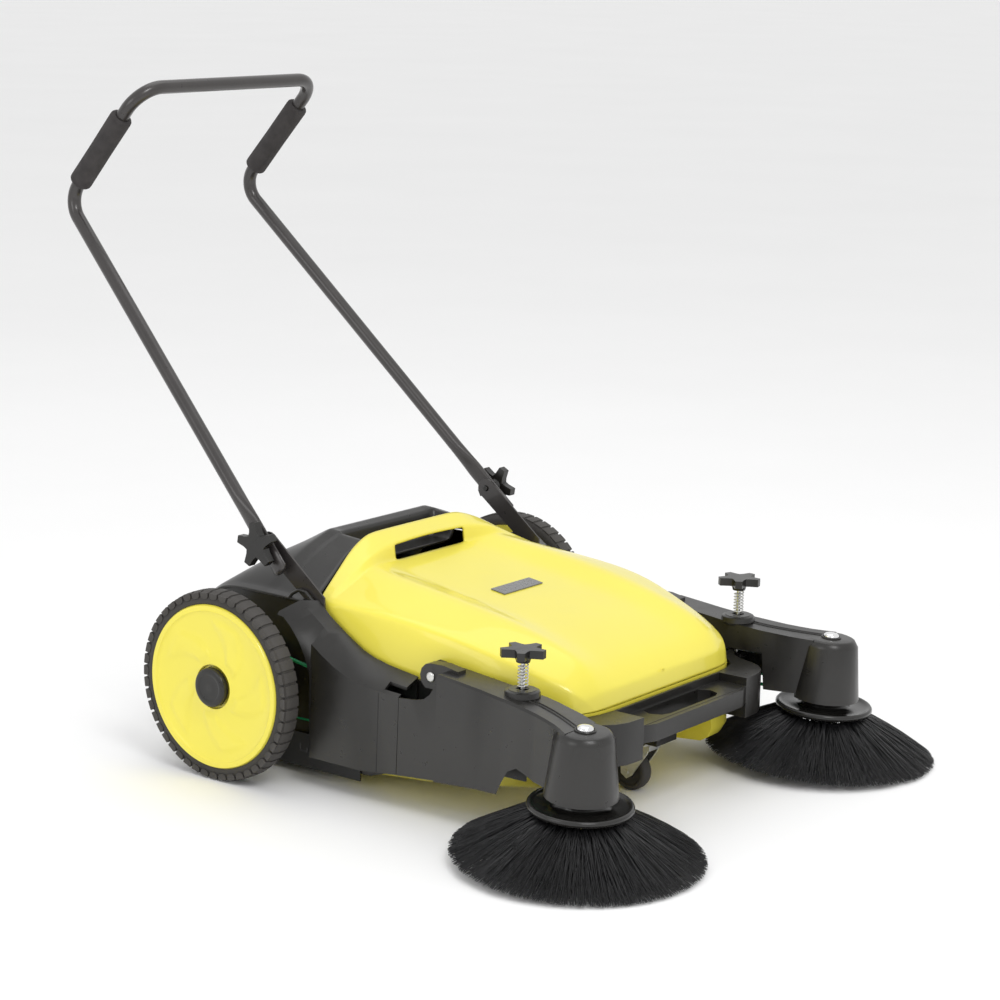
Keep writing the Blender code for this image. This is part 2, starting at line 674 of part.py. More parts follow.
def well_outline(plan, depth):
    """Inside of the bin below the tunnel's roof: it passes round the tunnel."""
    half, back = TUNNEL_HALF + SHELL, TUNNEL_Y + SHELL
    side = [(max(x, half + 4), y) for x, y in inset(plan, depth)]
    side[0] = (half, side[0][1])
    left = [(-x, y) for x, y in reversed(side)]
    return [(half, back)] + side + left + [(-half, back)]


def make_tray(mats):
    """Lower bin of the container, with a tunnel under its floor that clears the caster."""
    rim, belly = mirrored(CONTAINER_PLAN), mirrored(BELLY_PLAN)
    rings = [
        sloped(mirrored(inset(BELLY_PLAN, 16)), 0), sloped(mirrored(inset(BELLY_PLAN, 5)), 6),
        sloped(belly, 18), level(belly, 74), level(rim, 88), level(rim, PARTING_Z),
    ]
    tray = make_object("container_tray", loft(rings), mats["yellow"])
    tunnel = [(-360, 0), (-360, TUNNEL_Z), (TUNNEL_Y - 12, TUNNEL_Z), (TUNNEL_Y, 0)]
    cut(tray, prism_x(tunnel, -TUNNEL_HALF, TUNNEL_HALF))
    floor = TUNNEL_Z + SHELL
    cut(tray, prism_z(mirrored(inset(CONTAINER_PLAN, SHELL)), floor, PARTING_Z + 10))
    cut(tray, loft([
        sloped(well_outline(BELLY_PLAN, 19), SHELL), sloped(well_outline(BELLY_PLAN, 8), SHELL + 5),
        sloped(well_outline(BELLY_PLAN, 3.2), SHELL + 16), level(well_outline(BELLY_PLAN, 3.2), 73),
        level(well_outline(CONTAINER_PLAN, 3.4), 87), level(well_outline(CONTAINER_PLAN, 3.4), floor + 1),
    ]))


def make_label(mats):
    """Blank plate on the sunk top panel."""
    front, rear = (-109, 248.6), (-85, 252.0)
    outline = [front, rear, (rear[0], rear[1] + 1.6), (front[0], front[1] + 1.6)]
    make_object("blank_label", prism_x(outline, -44, 44), mats["label"])


# --- Arms and side brushes -------------------------------------------------------------------


def brush_axis(side):
    """Unit vector up the brush's axis, which leans forward and outward."""
    tilt = math.sin(BRUSH_TILT)
    return Vector((side * tilt * math.sin(BRUSH_LEAN), -tilt * math.cos(BRUSH_LEAN), math.cos(BRUSH_TILT)))


def brush_foot(side):
    return Vector((side * BRUSH_X, BRUSH_Y, BRUSH_Z))


# Shape of the arm from its hinge end to the brush: height of its top, of its outer wall's lower edge and of
# its inner wall's lower edge, and how far its two walls have spread at the top.
ARM_TOPS = [
    (-425, 177.4), (-390, 180.5), (-356, 183.5), (-330, 186), (-290, 189.5), (-255, 193), (-206, 198),
    (-184, 200),
]
ARM_LOWS = [(-357, 95), (-344, 100), (-325, 106), (-309, 98), (-299, 82), (-290, 63), (-262, 62), (-184, 56)]
ARM_FEET = [(-355, 99), (-351, 152), (-184, 152)]
ARM_OUTS = [
    (-420, 330), (-405, 321), (-390, 313), (-360, 302), (-330, 296), (-300, 291), (-270, 288), (-240, 286),
]
ARM_INS = [(-420, 263), (-405, 257), (-390, 251), (-360, 243), (-335, 237), (-320, 235.5)]


def arm_ring(side, y, inset_by):
    """Section of the arm at y; inset_by shrinks it to the hollow inside, which reaches below its edges."""
    w = inset_by
    top, low, foot = at(ARM_TOPS, y), at(ARM_LOWS, y), at(ARM_FEET, y)
    out, inner = at(ARM_OUTS, y), at(ARM_INS, y)
    spread = (ARM_FOOT - ARM_TOP) if y > -340 else 2.0
    deep = 25.0 if w else 0.0
    points = [(out + spread - w, low - deep), (out - w, top - w - 3), (out - w - 3, top - w),
              (inner + w, top - w), (inner + w, foot - deep)]
    return [Vector((side * x, y, z)) for x, z in points]


def make_arm(name, side, mats):
    """Arm cover: a channel open below, with the brush's bell at its tip and the adjuster's boss."""
    stations = (-184, -206, -255, -290, -299, -309, -325, -344, -351, -355, -372, -390, -405, -420)
    pivot = (side * EAR_IN, ARM_HINGE_Y, ARM_HINGE_Z)
    body = loft([arm_ring(side, y, 0) for y in stations])
    arm = make_object(f"arm_cover_{name}", body, mats["black"], pivot)
    foot_point, axis = brush_foot(side), brush_axis(side)
    bell = [(0, 80.5), (48, 80.5), (39, 157), (34, 165), (30, 166.8), (0, 166.8)]
    join(arm, turned(bell, foot_point, axis, 24))
    boss = [(0, 184), (BOSS_R - 3, 184), (BOSS_R, 188), (BOSS_R - 1, 195), (BOSS_R - 4, 196.5), (0, 196.5)]
    join(arm, turned(boss, (side * ROD_X, ROD_Y, 0), (0, 0, 1), 14))
    hollow = (-175,) + stations[1:-1] + (-412,)
    cut(arm, loft([arm_ring(side, y, ARM_WALL) for y in hollow]))
    cut(arm, turned([(0, 62), (46, 62), (36, 156), (31, 163), (0, 163)], foot_point, axis, 24))
    x, y = side * GUIDE_X, GUIDE_Y
    join(arm, rod((x, y, 100), (x, y, at(ARM_TOPS, y) - 1), GUIDE_R, 8))
    join(arm, arm_tail(side))
    join(arm, arm_ear(side))
    cut(arm, block_on(side, (ROD_X - 4.5, ROD_Y - 9, 150), (ROD_X + 4.5, ROD_Y + 9, 220)))
    cut(arm, rod(foot_point + axis * 140, foot_point + axis * 185, 5 + GAP, 16))
    y, z = ARM_HINGE_Y, ARM_HINGE_Z
    cut(arm, rod((side * (EAR_IN - 5), y, z), (side * (EAR_OUT + 5), y, z), PIN_R + GAP, 12))
    weld = arm.modifiers.new("weld", "WELD")
    weld.merge_threshold = WELD_DISTANCE


def arm_tail(side):
    """The outer wall where it runs on behind the hinge, down beside the chassis."""
    outline = [
        (-122, 52), (-122, 157), (-149, 159.5), (-163, 163), (-173, 171), (-180, 182), (-188, 194), (-188, 58),
    ]
    rings = []
    for depth in (0.1, ARM_WALL + 0.1):
        leans = ((ARM_FOOT - (ARM_FOOT - ARM_TOP) * (z - 56) / 141, y, z) for y, z in outline)
        rings.append([(side * (x - depth), y, z) for x, y, z in leans])
    return loft(rings)


def arm_ear(side):
    """Knuckle of the arm round its hinge pin."""
    turn = ellipse_arc((ARM_HINGE_Y, ARM_HINGE_Z), EAR_R, -60, 90, 5)
    outline = turn + [(-180, 207), (-203, 203), (-203, 194), (-186, 190), (-178, 172)]
    return prism_x(outline, side * EAR_IN, side * EAR_OUT)


def make_arm_pin(name, side, mats):
    x0, x1 = PLATE_IN - 0.4, EAR_OUT + GAP
    profile = [(0, x0), (PIN_R, x0), (PIN_R, x1), (7, x1), (7, x1 + 1.4), (4, x1 + 2.4), (0, x1 + 2.6)]
    pin = turned(profile, (0, ARM_HINGE_Y, ARM_HINGE_Z), (side, 0, 0), 12)
    make_object(f"arm_pin_{name}", pin, mats["steel"])


def make_brush(name, side, mats):
    """Side brush: pulley, flanged holder and bristles, turning on a bolt fixed in the arm."""
    foot, axis = brush_foot(side), brush_axis(side)
    bolt = [(0, 42), (11, 42), (11, 46), (5, 46), (5, 167.2), (10.5, 167.2), (11, 169.6), (8, 173), (0, 174)]
    make_object(f"brush_bolt_{name}", turned(bolt, foot, axis, 12), mats["chrome"])
    bore = 5 + GAP
    collar = [
        (bore, 48), (24, 48), (50, 61), (66, 63), (68.5, 67), (67, 71.5), (60, 67.5), (34, 67.5), (30, 82),
        (bore, 82),
    ]
    make_object(f"brush_collar_{name}", turned(collar, foot, axis, 24), mats["black"], foot)
    groove = PULLEY_R - BELT_R - 2 * GAP
    pulley = [
        (bore, 83), (30, 83), (30, 84.6), (groove, 85.8), (groove, 91.2), (30, 92.4), (30, 94), (bore, 94),
    ]
    make_object(f"brush_pulley_{name}", turned(pulley, foot, axis, 16), mats["black"], foot)
    tuft = [
        (28, 49.2), (49.6, 60.2), (58, 61.2), (78, 52), (112, 32), (BRUSH_R, 1.5), (BRUSH_R - 2, 0),
        (110, 15), (28, 40),
    ]
    make_object(f"brush_bristles_{name}", turned(tuft, foot, axis, 32), mats["bristle"], foot)


def make_belt(name, side, mats):
    """Round belt from the wheel's drum: forward past the arm's post, round the brush pulley and back."""
    foot, axis = brush_foot(side), brush_axis(side)
    centre = foot + axis * PULLEY_HEIGHT
    drum = ellipse_arc((AXLE_Y, AXLE_Z), DRUM_BELT_R, -90, 90, 12)
    points = [Vector((side * BELT_X, y, z)) for y, z in drum]
    across = Vector((side, 0, 0))
    across = (across - axis * across.dot(axis)).normalized()
    forward = axis.cross(across) * -side
    turns = (math.radians(-36 + 216 * k / 14) for k in range(15))
    loop = [centre + (forward * math.sin(t) + across * math.cos(t)) * PULLEY_R for t in turns]
    reach = GUIDE_R + BELT_R + 2 * GAP
    bend = []
    for turn in (0.0, 18.0, 36.0):
        x = GUIDE_X - reach * math.cos(math.radians(turn))
        y = GUIDE_Y - reach * math.sin(math.radians(turn))
        share = (AXLE_Y - y) / (AXLE_Y - loop[0].y)
        bend.append(Vector((side * x, y, points[-1].z + share * (loop[0].z - points[-1].z))))
    out = [points[-1].lerp(bend[0], k / 3) for k in (1, 2)]
    back = [loop[-1].lerp(points[0], k / 4) for k in (1, 2, 3)]
    path = points + out + bend + [bend[-1].lerp(loop[0], 0.5)] + loop + back
    belt = loft(tube_rings(path, BELT_R, 5, closed=True), closed=True)
    make_object(f"drive_belt_{name}", belt, mats["belt"])


def make_adjuster(name, side, mats):
    """Threaded rod on the chassis, the spring on it, and the star knob that sets the arm's height."""
    x, y = side * ROD_X, ROD_Y
    shank = [(0, 132), (6, 132), (6, 135.5), (ROD_R, 135.5), (ROD_R, KNOB_Z + 5), (0, KNOB_Z + 5)]
    make_object(f"adjuster_rod_{name}", turned(shank, (x, y, 0), (0, 0, 1), 12), mats["steel"])
    low, high = 197.9, KNOB_Z - 2.2
    wire, coil, turns, per_turn = 0.9, 7.0, 6, 7
    path = []
    for k in range(turns * per_turn + 1):
        t = 2 * math.pi * k / per_turn
        height = low + (high - low) * k / (turns * per_turn)
        path.append((x + coil * math.cos(t), y + coil * math.sin(t), height))
    make_object(f"adjuster_spring_{name}", loft(tube_rings(path, wire, 4)), mats["steel"], (x, y, high))
    star, stub = star_knob((x, y, KNOB_Z - 0.6), (0, 0, 1), stem=8, thick=11, turn=0.3)
    knob = make_object(f"adjuster_knob_{name}", star, mats["black"], (x, y, KNOB_Z))
    join(knob, stub)
    cut(knob, rod((x, y, KNOB_Z - 5), (x, y, KNOB_Z + 5 + GAP), ROD_R + GAP, 16))


# --- Handle ----------------------------------------------------------------------------------


def handle_corners():
    """Corners of the handle's centre line on the left side, from its flat lower end to the top."""
    hinge, knee, top = Vector((HINGE_X, HINGE_Y, HINGE_Z)), Vector(KNEE), Vector(TOP_CORNER)
    tail = hinge - (knee - hinge).normalized() * TAIL
    return hinge, [tail, knee, top]


def make_handle(mats):
    hinge, (tail, knee, top) = handle_corners()
    along = (knee - hinge).normalized()
    lower = [tail, tail + along * 3, hinge, hinge + along * 30, hinge + along * 55, hinge + along * 95]
    left = [tuple(p) for p in lower]
    bends = rounded_path([hinge, knee, top, (0, top.y, top.z)], [KNEE_BEND, TOP_BEND])[1:-1]
    half = [Vector(p) for p in left] + bends
    path = half + [Vector((-p.x, p.y, p.z)) for p in reversed(half)]
    shapes = [(0.75, 0.42), (1.35, 0.42), (1.35, 0.42), (1.35, 0.42), (1.25, 0.6)]

    def flatten(i):
        end = min(i, len(path) - 1 - i)
        return shapes[end] if end < len(shapes) else (1.0, 1.0)

    pivot = (0, HINGE_Y, HINGE_Z)
    tube = make_object("handle_tube", loft(tube_rings(path, TUBE_R, 8, flatten)), mats["paint"], pivot)
    for side in SIDES.values():
        start, end = ((side * (HINGE_X + reach), HINGE_Y, HINGE_Z) for reach in (-12, 12))
        cut(tube, rod(start, end, HINGE_HOLE_R))
    for name, side in SIDES.items():
        make_grip(name, side, knee, top, mats)
        make_clamp(name, side, mats)
        make_bar(name, side, mats)


def make_grip(name, side, knee, top, mats):
    """Foam sleeve on the upper stretch of the handle."""
    along = (top - knee).normalized()
    start, length = knee + along * 37, 132
    bore = TUBE_R + GAP
    profile = [
        (bore, 0), (GRIP_R - 2, 0), (GRIP_R, 3), (GRIP_R, length - 3), (GRIP_R - 2, length), (bore, length),
    ]
    centre = (side * start.x, start.y, start.z)
    axis = (side * along.x, along.y, along.z)
    make_object(f"foam_grip_{name}", turned(profile, centre, axis, 14), mats["foam"])


def make_clamp(name, side, mats):
    """Star knob with the clamp bolt moulded into it, through the handle's end and the bar."""
    start = HINGE_X + 0.42 * TUBE_R + 2.0
    centre = (side * start, HINGE_Y, HINGE_Z)
    star, stub = star_knob(centre, (side, 0, 0), tip=33, stem=4, thick=12, hub=10)
    knob = make_object(f"handle_knob_{name}", star, mats["black"], centre)
    join(knob, stub)
    outer, inner = ((side * x, HINGE_Y, HINGE_Z) for x in (start + 4, PLATE_IN - 2))
    join(knob, rod(outer, inner, HINGE_HOLE_R - GAP, 12))


def make_bar(name, side, mats):
    """Flat steel bar that rises from the chassis to the handle's hinge bolt."""
    slope = math.degrees(math.atan2(317 - 251, 146 - 62))
    end = ellipse_arc((HINGE_Y, HINGE_Z), BAR_HALF + 1, slope - 90, slope + 90, 8)
    outline = [(45, 255.5), (44, 240), (52, 242.4), (60, 244.8), (76, 245)] + end
    strip = prism_x(outline, side * (PLATE_IN + 0.5), side * (PLATE_OUT - 0.2))
    bar = make_object(f"handle_bar_{name}", strip, mats["paint"])
    start, end = ((side * x, HINGE_Y, HINGE_Z) for x in (PLATE_IN - 6, PLATE_OUT + 5))
    cut(bar, rod(start, end, HINGE_HOLE_R))


# --- Caster ----------------------------------------------------------------------------------


def make_caster(mats):
    pivot_y = CASTER_Y - CASTER_TRAIL
    plate = [(0, 70), (19, 70), (19, 75.5), (0, 75.5)]
    make_object("caster_plate", turned(plate, (0, pivot_y, 0), (0, 0, 1), 16), mats["steel"])
    side = [(pivot_y - 13, 66), (pivot_y - 10, 58), (CASTER_Y - 9, 24), (CASTER_Y, 18), (CASTER_Y + 9, 24),
            (CASTER_Y + 10, 34), (pivot_y + 13, 66)]
    fork = make_object("caster_fork", prism_x(side, -14, -11.5), mats["steel"], (0, pivot_y, 0))
    join(fork, prism_x(side, 11.5, 14))
    join(fork, block((-14, pivot_y - 14, 63), (14, pivot_y + 14, 69.5)))
    join(fork, rod((-16, CASTER_Y, CASTER_R), (16, CASTER_Y, CASTER_R), 3.5, 16))
    wheel = [(4, -10), (10, -10), (12, -8), (CASTER_R - 1, -7.5), (CASTER_R, -5), (CASTER_R, 5),
             (CASTER_R - 1, 7.5), (12, 8), (10, 10), (4, 10)]
    centre = (0, CASTER_Y, CASTER_R)
    make_object("caster_wheel", turned(wheel, centre, (1, 0, 0), 16), mats["tyre"], centre)


def build():
    clear_scene()
    mats = finishes()
    for name, side in SIDES.items():
        make_wheel(name, side, mats)
        make_axle(name, side, mats)
        make_side_plate(name, side, mats)
        make_side_cover(name, side, mats)
        make_arm(name, side, mats)
        make_arm_pin(name, side, mats)
        make_brush(name, side, mats)
        make_belt(name, side, mats)
        make_adjuster(name, side, mats)
    make_roller(mats)
    make_housing(mats)
    make_bumper(mats)
    make_strips(mats)
    make_hood(mats)
    make_tray(mats)
    make_label(mats)
    make_handle(mats)
    make_caster(mats)


build()
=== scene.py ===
"""Looks of a walk-behind push sweeper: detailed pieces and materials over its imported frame.

Lengths in the shape tables below are millimetres, like the machine's drawing; make_piece turns them into
metres. -Y is the front, +Y is where the operator stands, +Z is up. side is -1 for the right, +1 for the left.
"""

import json
import math

import bmesh
import bpy
import numpy as np
from mathutils import Matrix, Vector


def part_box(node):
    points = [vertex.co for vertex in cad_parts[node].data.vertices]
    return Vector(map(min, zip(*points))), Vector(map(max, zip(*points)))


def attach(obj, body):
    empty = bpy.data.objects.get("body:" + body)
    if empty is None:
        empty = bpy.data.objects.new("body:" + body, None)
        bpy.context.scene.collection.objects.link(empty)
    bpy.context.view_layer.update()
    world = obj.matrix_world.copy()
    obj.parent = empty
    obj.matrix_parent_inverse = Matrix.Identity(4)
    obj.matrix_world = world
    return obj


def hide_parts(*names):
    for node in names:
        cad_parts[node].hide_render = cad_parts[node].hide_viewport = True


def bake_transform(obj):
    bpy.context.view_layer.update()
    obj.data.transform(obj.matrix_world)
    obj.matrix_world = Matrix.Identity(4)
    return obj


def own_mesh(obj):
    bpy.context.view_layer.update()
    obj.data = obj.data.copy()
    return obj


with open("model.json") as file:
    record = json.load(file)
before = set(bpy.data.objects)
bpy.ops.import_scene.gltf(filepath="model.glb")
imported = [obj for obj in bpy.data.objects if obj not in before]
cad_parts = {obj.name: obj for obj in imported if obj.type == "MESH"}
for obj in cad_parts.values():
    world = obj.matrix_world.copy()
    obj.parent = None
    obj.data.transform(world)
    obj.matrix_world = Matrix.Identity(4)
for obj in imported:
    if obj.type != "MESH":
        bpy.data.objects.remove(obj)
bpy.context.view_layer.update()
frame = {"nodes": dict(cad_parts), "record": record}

MM = 0.001
SIDES = {"right": -1, "left": 1}
JOINTS = {joint["name"]: joint for joint in frame["record"]["behaviour"]["joints"]}


def joint_mm(name):
    """Where a joint is, in millimetres."""
    return Vector(JOINTS[name]["pos_m"]) / MM


def box_mm(node):
    """Lowest and highest corner of a CAD node, in millimetres."""
    return [Vector(corner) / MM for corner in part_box(node)]


# --- Materials -------------------------------------------------------------------------------


def link(tree, source, output, target, socket):
    tree.links.new(source.outputs[output], target.inputs[socket])


def add_node(tree, kind, **inputs):
    node = tree.nodes.new(kind)
    for name, value in inputs.items():
        node.inputs[name.replace("_", " ")].default_value = value
    return node


def surface(name, colour, roughness, metallic=0.0, tint=0.08, patch=9.0, spread=0.08, grain=0.15,
            grain_scale=900.0, depth=0.0002, wear=0.0, stretch=(1, 1, 1), coat=0.0):
    """A material with patchy colour and gloss, a fine bumpy grain and, with wear, paler edges."""
    mat = bpy.data.materials.new(name)
    mat.use_nodes = True
    tree = mat.node_tree
    shader = tree.nodes["Principled BSDF"]
    shader.inputs["Metallic"].default_value = metallic
    shader.inputs["Coat Weight"].default_value = coat
    coords = tree.nodes.new("ShaderNodeTexCoord")
    mapping = add_node(tree, "ShaderNodeMapping", Scale=stretch)
    link(tree, coords, "Object", mapping, "Vector")

    patches = add_node(tree, "ShaderNodeTexNoise", Scale=patch, Detail=5.0, Roughness=0.6)
    link(tree, mapping, "Vector", patches, "Vector")
    ramp = tree.nodes.new("ShaderNodeValToRGB")
    ramp.color_ramp.elements[0].position = 0.3
    ramp.color_ramp.elements[1].position = 0.7
    ramp.color_ramp.elements[0].color = (*[c * (1 - tint) for c in colour], 1)
    ramp.color_ramp.elements[1].color = (*[min(1.0, c * (1 + tint)) for c in colour], 1)
    link(tree, patches, "Fac", ramp, "Fac")
    paint, output = ramp, "Color"
    if wear:
        paint, output = worn_edges(tree, ramp, colour, wear)
    link(tree, paint, output, shader, "Base Color")

    gloss = add_node(tree, "ShaderNodeMapRange", To_Min=roughness - spread, To_Max=roughness + spread)
    smears = add_node(tree, "ShaderNodeTexNoise", Scale=patch * 4, Detail=6.0, Roughness=0.7)
    link(tree, mapping, "Vector", smears, "Vector")
    link(tree, smears, "Fac", gloss, "Value")
    link(tree, gloss, "Result", shader, "Roughness")

    fine = add_node(tree, "ShaderNodeTexNoise", Scale=grain_scale, Detail=2.0)
    link(tree, mapping, "Vector", fine, "Vector")
    bump = add_node(tree, "ShaderNodeBump", Strength=grain, Distance=depth)
    link(tree, fine, "Fac", bump, "Height")
    link(tree, bump, "Normal", shader, "Normal")
    return mat


def worn_edges(tree, ramp, colour, wear):
    """Mix a paler tone over the convex edges."""
    geometry = tree.nodes.new("ShaderNodeNewGeometry")
    edge = add_node(tree, "ShaderNodeMapRange", From_Min=0.52, From_Max=0.60, To_Min=0.0, To_Max=wear)
    link(tree, geometry, "Pointiness", edge, "Value")
    mix = tree.nodes.new("ShaderNodeMix")
    mix.data_type = "RGBA"
    link(tree, edge, "Result", mix, "Factor")
    tree.links.new(ramp.outputs["Color"], mix.inputs[6])
    mix.inputs[7].default_value = (*[min(1.0, c * 2.2 + 0.02) for c in colour], 1)
    tree.links.new(mix.outputs[2], tree.nodes["Principled BSDF"].inputs["Base Color"])
    return mix, 2


def finishes():
    yellow = (0.84, 0.735, 0.075)
    return {
        "yellow": surface("yellow_shell", yellow, 0.36, tint=0.03, patch=5, spread=0.07, grain=0.06,
                          grain_scale=1500, depth=0.0001, coat=0.45),
        "black": surface("black_moulding", (0.012, 0.0113, 0.0102), 0.31, tint=0.25, patch=14, spread=0.12,
                         grain=0.22, grain_scale=1300, depth=0.00015, wear=0.35),
        "gloss": surface("black_gloss", (0.012, 0.0115, 0.0105), 0.20, tint=0.2, patch=30, spread=0.07,
                         grain=0.08, grain_scale=1300, depth=0.0001, wear=0.3),
        "tyre": surface("tyre_rubber", (0.030, 0.027, 0.024), 0.66, tint=0.30, patch=20, spread=0.12,
                        grain=0.35, grain_scale=700, depth=0.0003, wear=0.4),
        "rubber": surface("strip_rubber", (0.020, 0.020, 0.020), 0.62, tint=0.2, patch=20, grain=0.2),
        "foam": surface("grip_foam", (0.040, 0.036, 0.036), 0.92, tint=0.25, patch=60, spread=0.05,
                        grain=0.8, grain_scale=1500, depth=0.0006),
        "paint": surface("dark_enamel", (0.040, 0.036, 0.035), 0.30, metallic=0.2, tint=0.12, patch=25,
                         grain=0.12, grain_scale=420, depth=0.0002, coat=0.3),
        "steel": surface("zinc_plate", (0.66, 0.66, 0.64), 0.30, metallic=1.0, tint=0.10, patch=50,
                         grain=0.15, grain_scale=2000, depth=0.0001, stretch=(1, 1, 6)),
        "chrome": surface("bright_plate", (0.88, 0.88, 0.88), 0.12, metallic=1.0, tint=0.04, patch=60,
                          spread=0.05, grain=0.05),
        "bristle": surface("bristle_fibre", (0.012, 0.012, 0.013), 0.33, tint=0.5, patch=160, spread=0.1,
                           grain=0.3, grain_scale=3000, depth=0.0002),
        "belt": surface("green_cord", (0.01, 0.30, 0.12), 0.38, tint=0.15, patch=80, grain=0.15),
        "label": surface("blank_plate", (0.16, 0.16, 0.16), 0.28, tint=0.08, patch=120, grain=0.08),
    }


MATS = finishes()

# --- Mesh helpers ----------------------------------------------------------------------------


def make_piece(name, verts, faces, mat, body, slot, nodes=(), smooth=38.0):
    """A piece from points in millimetres, riding on a CAD body and standing for the named nodes."""
    mesh = bpy.data.meshes.new(name)
    mesh.from_pydata([Vector(v) * MM for v in verts], [], faces)
    mesh.materials.append(MATS[mat])
    bm = bmesh.new()
    bm.from_mesh(mesh)
    bmesh.ops.recalc_face_normals(bm, faces=bm.faces)
    bm.to_mesh(mesh)
    bm.free()
    mesh.shade_smooth()
    if smooth < 180:
        mesh.set_sharp_from_angle(angle=math.radians(smooth))
    obj = bpy.data.objects.new(name, mesh)
    bpy.context.scene.collection.objects.link(obj)
    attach(obj, body)
    if nodes:
        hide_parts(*nodes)
    return obj


def bridge(rings, closed_ring=True, caps=True, loop=False):
    """Points and faces of a skin through rings of points."""
    count = len(rings[0])
    verts = [p for ring in rings for p in ring]
    faces = []
    spans = len(rings) if loop else len(rings) - 1
    for i in range(spans):
        a, b = i * count, ((i + 1) % len(rings)) * count
        for j in range(count if closed_ring else count - 1):
            k = (j + 1) % count
            faces.append((a + j, a + k, b + k, b + j))
    if caps and not loop:
        faces.append(tuple(range(count)))
        faces.append(tuple(reversed(range(len(verts) - count, len(verts)))))
    return verts, faces


def merge(parts):
    """Several (points, faces) pairs as one."""
    verts, faces = [], []
    for some, corners in parts:
        base = len(verts)
        verts += some
        faces += [tuple(base + c for c in face) for face in corners]
    return verts, faces


def cross_axes(axis):
    w = Vector(axis).normalized()
    u = w.orthogonal().normalized()
    return u, w.cross(u), w


def turned(profile, centre, axis, steps=96):
    """Spin (radius, height) points, closed into a loop, about an axis through centre."""
    u, v, w = cross_axes(axis)
    centre = Vector(centre)
    rings = []
    for radius, height in profile:
        turns = (math.tau * k / steps for k in range(steps))
        rings.append([centre + w * height + (u * math.cos(t) + v * math.sin(t)) * radius for t in turns])
    return bridge(rings, loop=True)


def swept(points, radius, steps=16, squash=None, loop=False):
    """A tube along points; squash(i) gives its width and depth factors there."""
    points = [Vector(p) for p in points]
    normal = None
    rings = []
    for i, point in enumerate(points):
        before = points[i - 1] if loop or i else point
        after = points[(i + 1) % len(points)] if loop or i < len(points) - 1 else point
        tangent = (after - before).normalized()
        side = Vector((1, 0, 0)) if normal is None else normal
        normal = (side - tangent * side.dot(tangent)).normalized()
        other = tangent.cross(normal)
        wide, deep = squash(i) if squash else (1.0, 1.0)
        turns = (math.tau * k / steps for k in range(steps))
        rings.append([point + normal * radius * deep * math.cos(t) + other * radius * wide * math.sin(t)
                      for t in turns])
    return bridge(rings, loop=loop)


def rounded_path(corners, radii, arc_steps=14):
    """A path through corners, each inner one replaced by an arc of its radius."""
    corners = [Vector(c) for c in corners]
    path = [corners[0]]
    for before, corner, after, radius in zip(corners, corners[1:], corners[2:], radii):
        a = (before - corner).normalized()
        b = (after - corner).normalized()
        half = a.angle(b) / 2
        centre = corner + (a + b).normalized() * radius / math.sin(half)
        first = corner + a * radius / math.tan(half) - centre
        last = corner + b * radius / math.tan(half) - centre
        axis, sweep = first.cross(last), first.angle(last)
        for k in range(arc_steps + 1):
            path.append(centre + Matrix.Rotation(sweep * k / arc_steps, 3, axis) @ first)
    path.append(corners[-1])
    return path


# --- CAD pieces kept as they are -------------------------------------------------------------

KEPT = {
    "black": ["side_cover", "side_plate", "arm_cover", "brush_pulley", "drive_drum", "adjuster_knob",
              "handle_knob"],
    "steel": ["stub_axle", "roller_bearing", "adjuster_rod"],
    "rubber": ["side_strip"],
    "paint": ["handle_bar"],
}
KEPT_SINGLE = {
    "black": ["front_bumper", "roller_core"],
    "steel": ["caster_plate", "caster_fork", "drive_pinion"],
    "rubber": ["rear_skirt"],
    "yellow": ["container_tray"],
    "label": ["blank_label"],
}
EDGE_MM = {
    "arm_cover": 1.6, "side_cover": 1.4, "front_bumper": 4.0, "adjuster_knob": 1.6, "handle_knob": 1.6,
    "container_tray": 3.0, "side_plate": 0.5,
    "caster_fork": 0.4, "handle_bar": 0.5, "blank_label": 0.3,
}


def soften(obj, width):
    """Join the facets' corners and round the sharp edges off."""
    mesh = obj.data
    mesh.shade_smooth()
    weld = obj.modifiers.new("weld", "WELD")
    weld.merge_threshold = 0.00001
    if width:
        bevel = obj.modifiers.new("edge", "BEVEL")
        bevel.width = width * MM
        bevel.segments = 3
        bevel.limit_method = "ANGLE"
        bevel.angle_limit = math.radians(38)
        bevel.harden_normals = False
    tidy = obj.modifiers.new("normals", "WEIGHTED_NORMAL")
    tidy.keep_sharp = False


def dress_kept_nodes():
    names = [(mat, stem, f"{stem}_{side}") for mat, stems in KEPT.items() for stem in stems for side in SIDES]
    names += [(mat, stem, stem) for mat, stems in KEPT_SINGLE.items() for stem in stems]
    for mat, stem, name in names:
        obj = frame["nodes"][name]
        obj.data.materials.clear()
        obj.data.materials.append(MATS[mat])
        soften(obj, EDGE_MM.get(stem, 0.0))


# --- Wheels ----------------------------------------------------------------------------------


LUGS = 48  # tread bars round a tyre
PETALS = 5  # raised shapes on a wheel disc
DISH_IN, DISH_OUT = 31, 104  # radii that the disc's dish lies between


def tyre_profile(inner, outer, radius):
    """Half-round shoulders round a flat tread; radii and widths in millimetres."""
    groove = radius - 1.5
    return [
        (radius - 18.0, inner + 2.0), (radius - 12.0, inner + 0.4), (groove - 3, inner + 2.5),
        (groove, inner + 6.0), (groove, outer - 10.0), (groove - 2.0, outer - 5.0),
        (radius - 8.0, outer - 2.2), (radius - 11.0, outer - 1.0), (radius - 13.0, outer - 0.4),
        (radius - 16.0, outer - 0.6), (radius - 18.0, outer - 1.6),
    ]


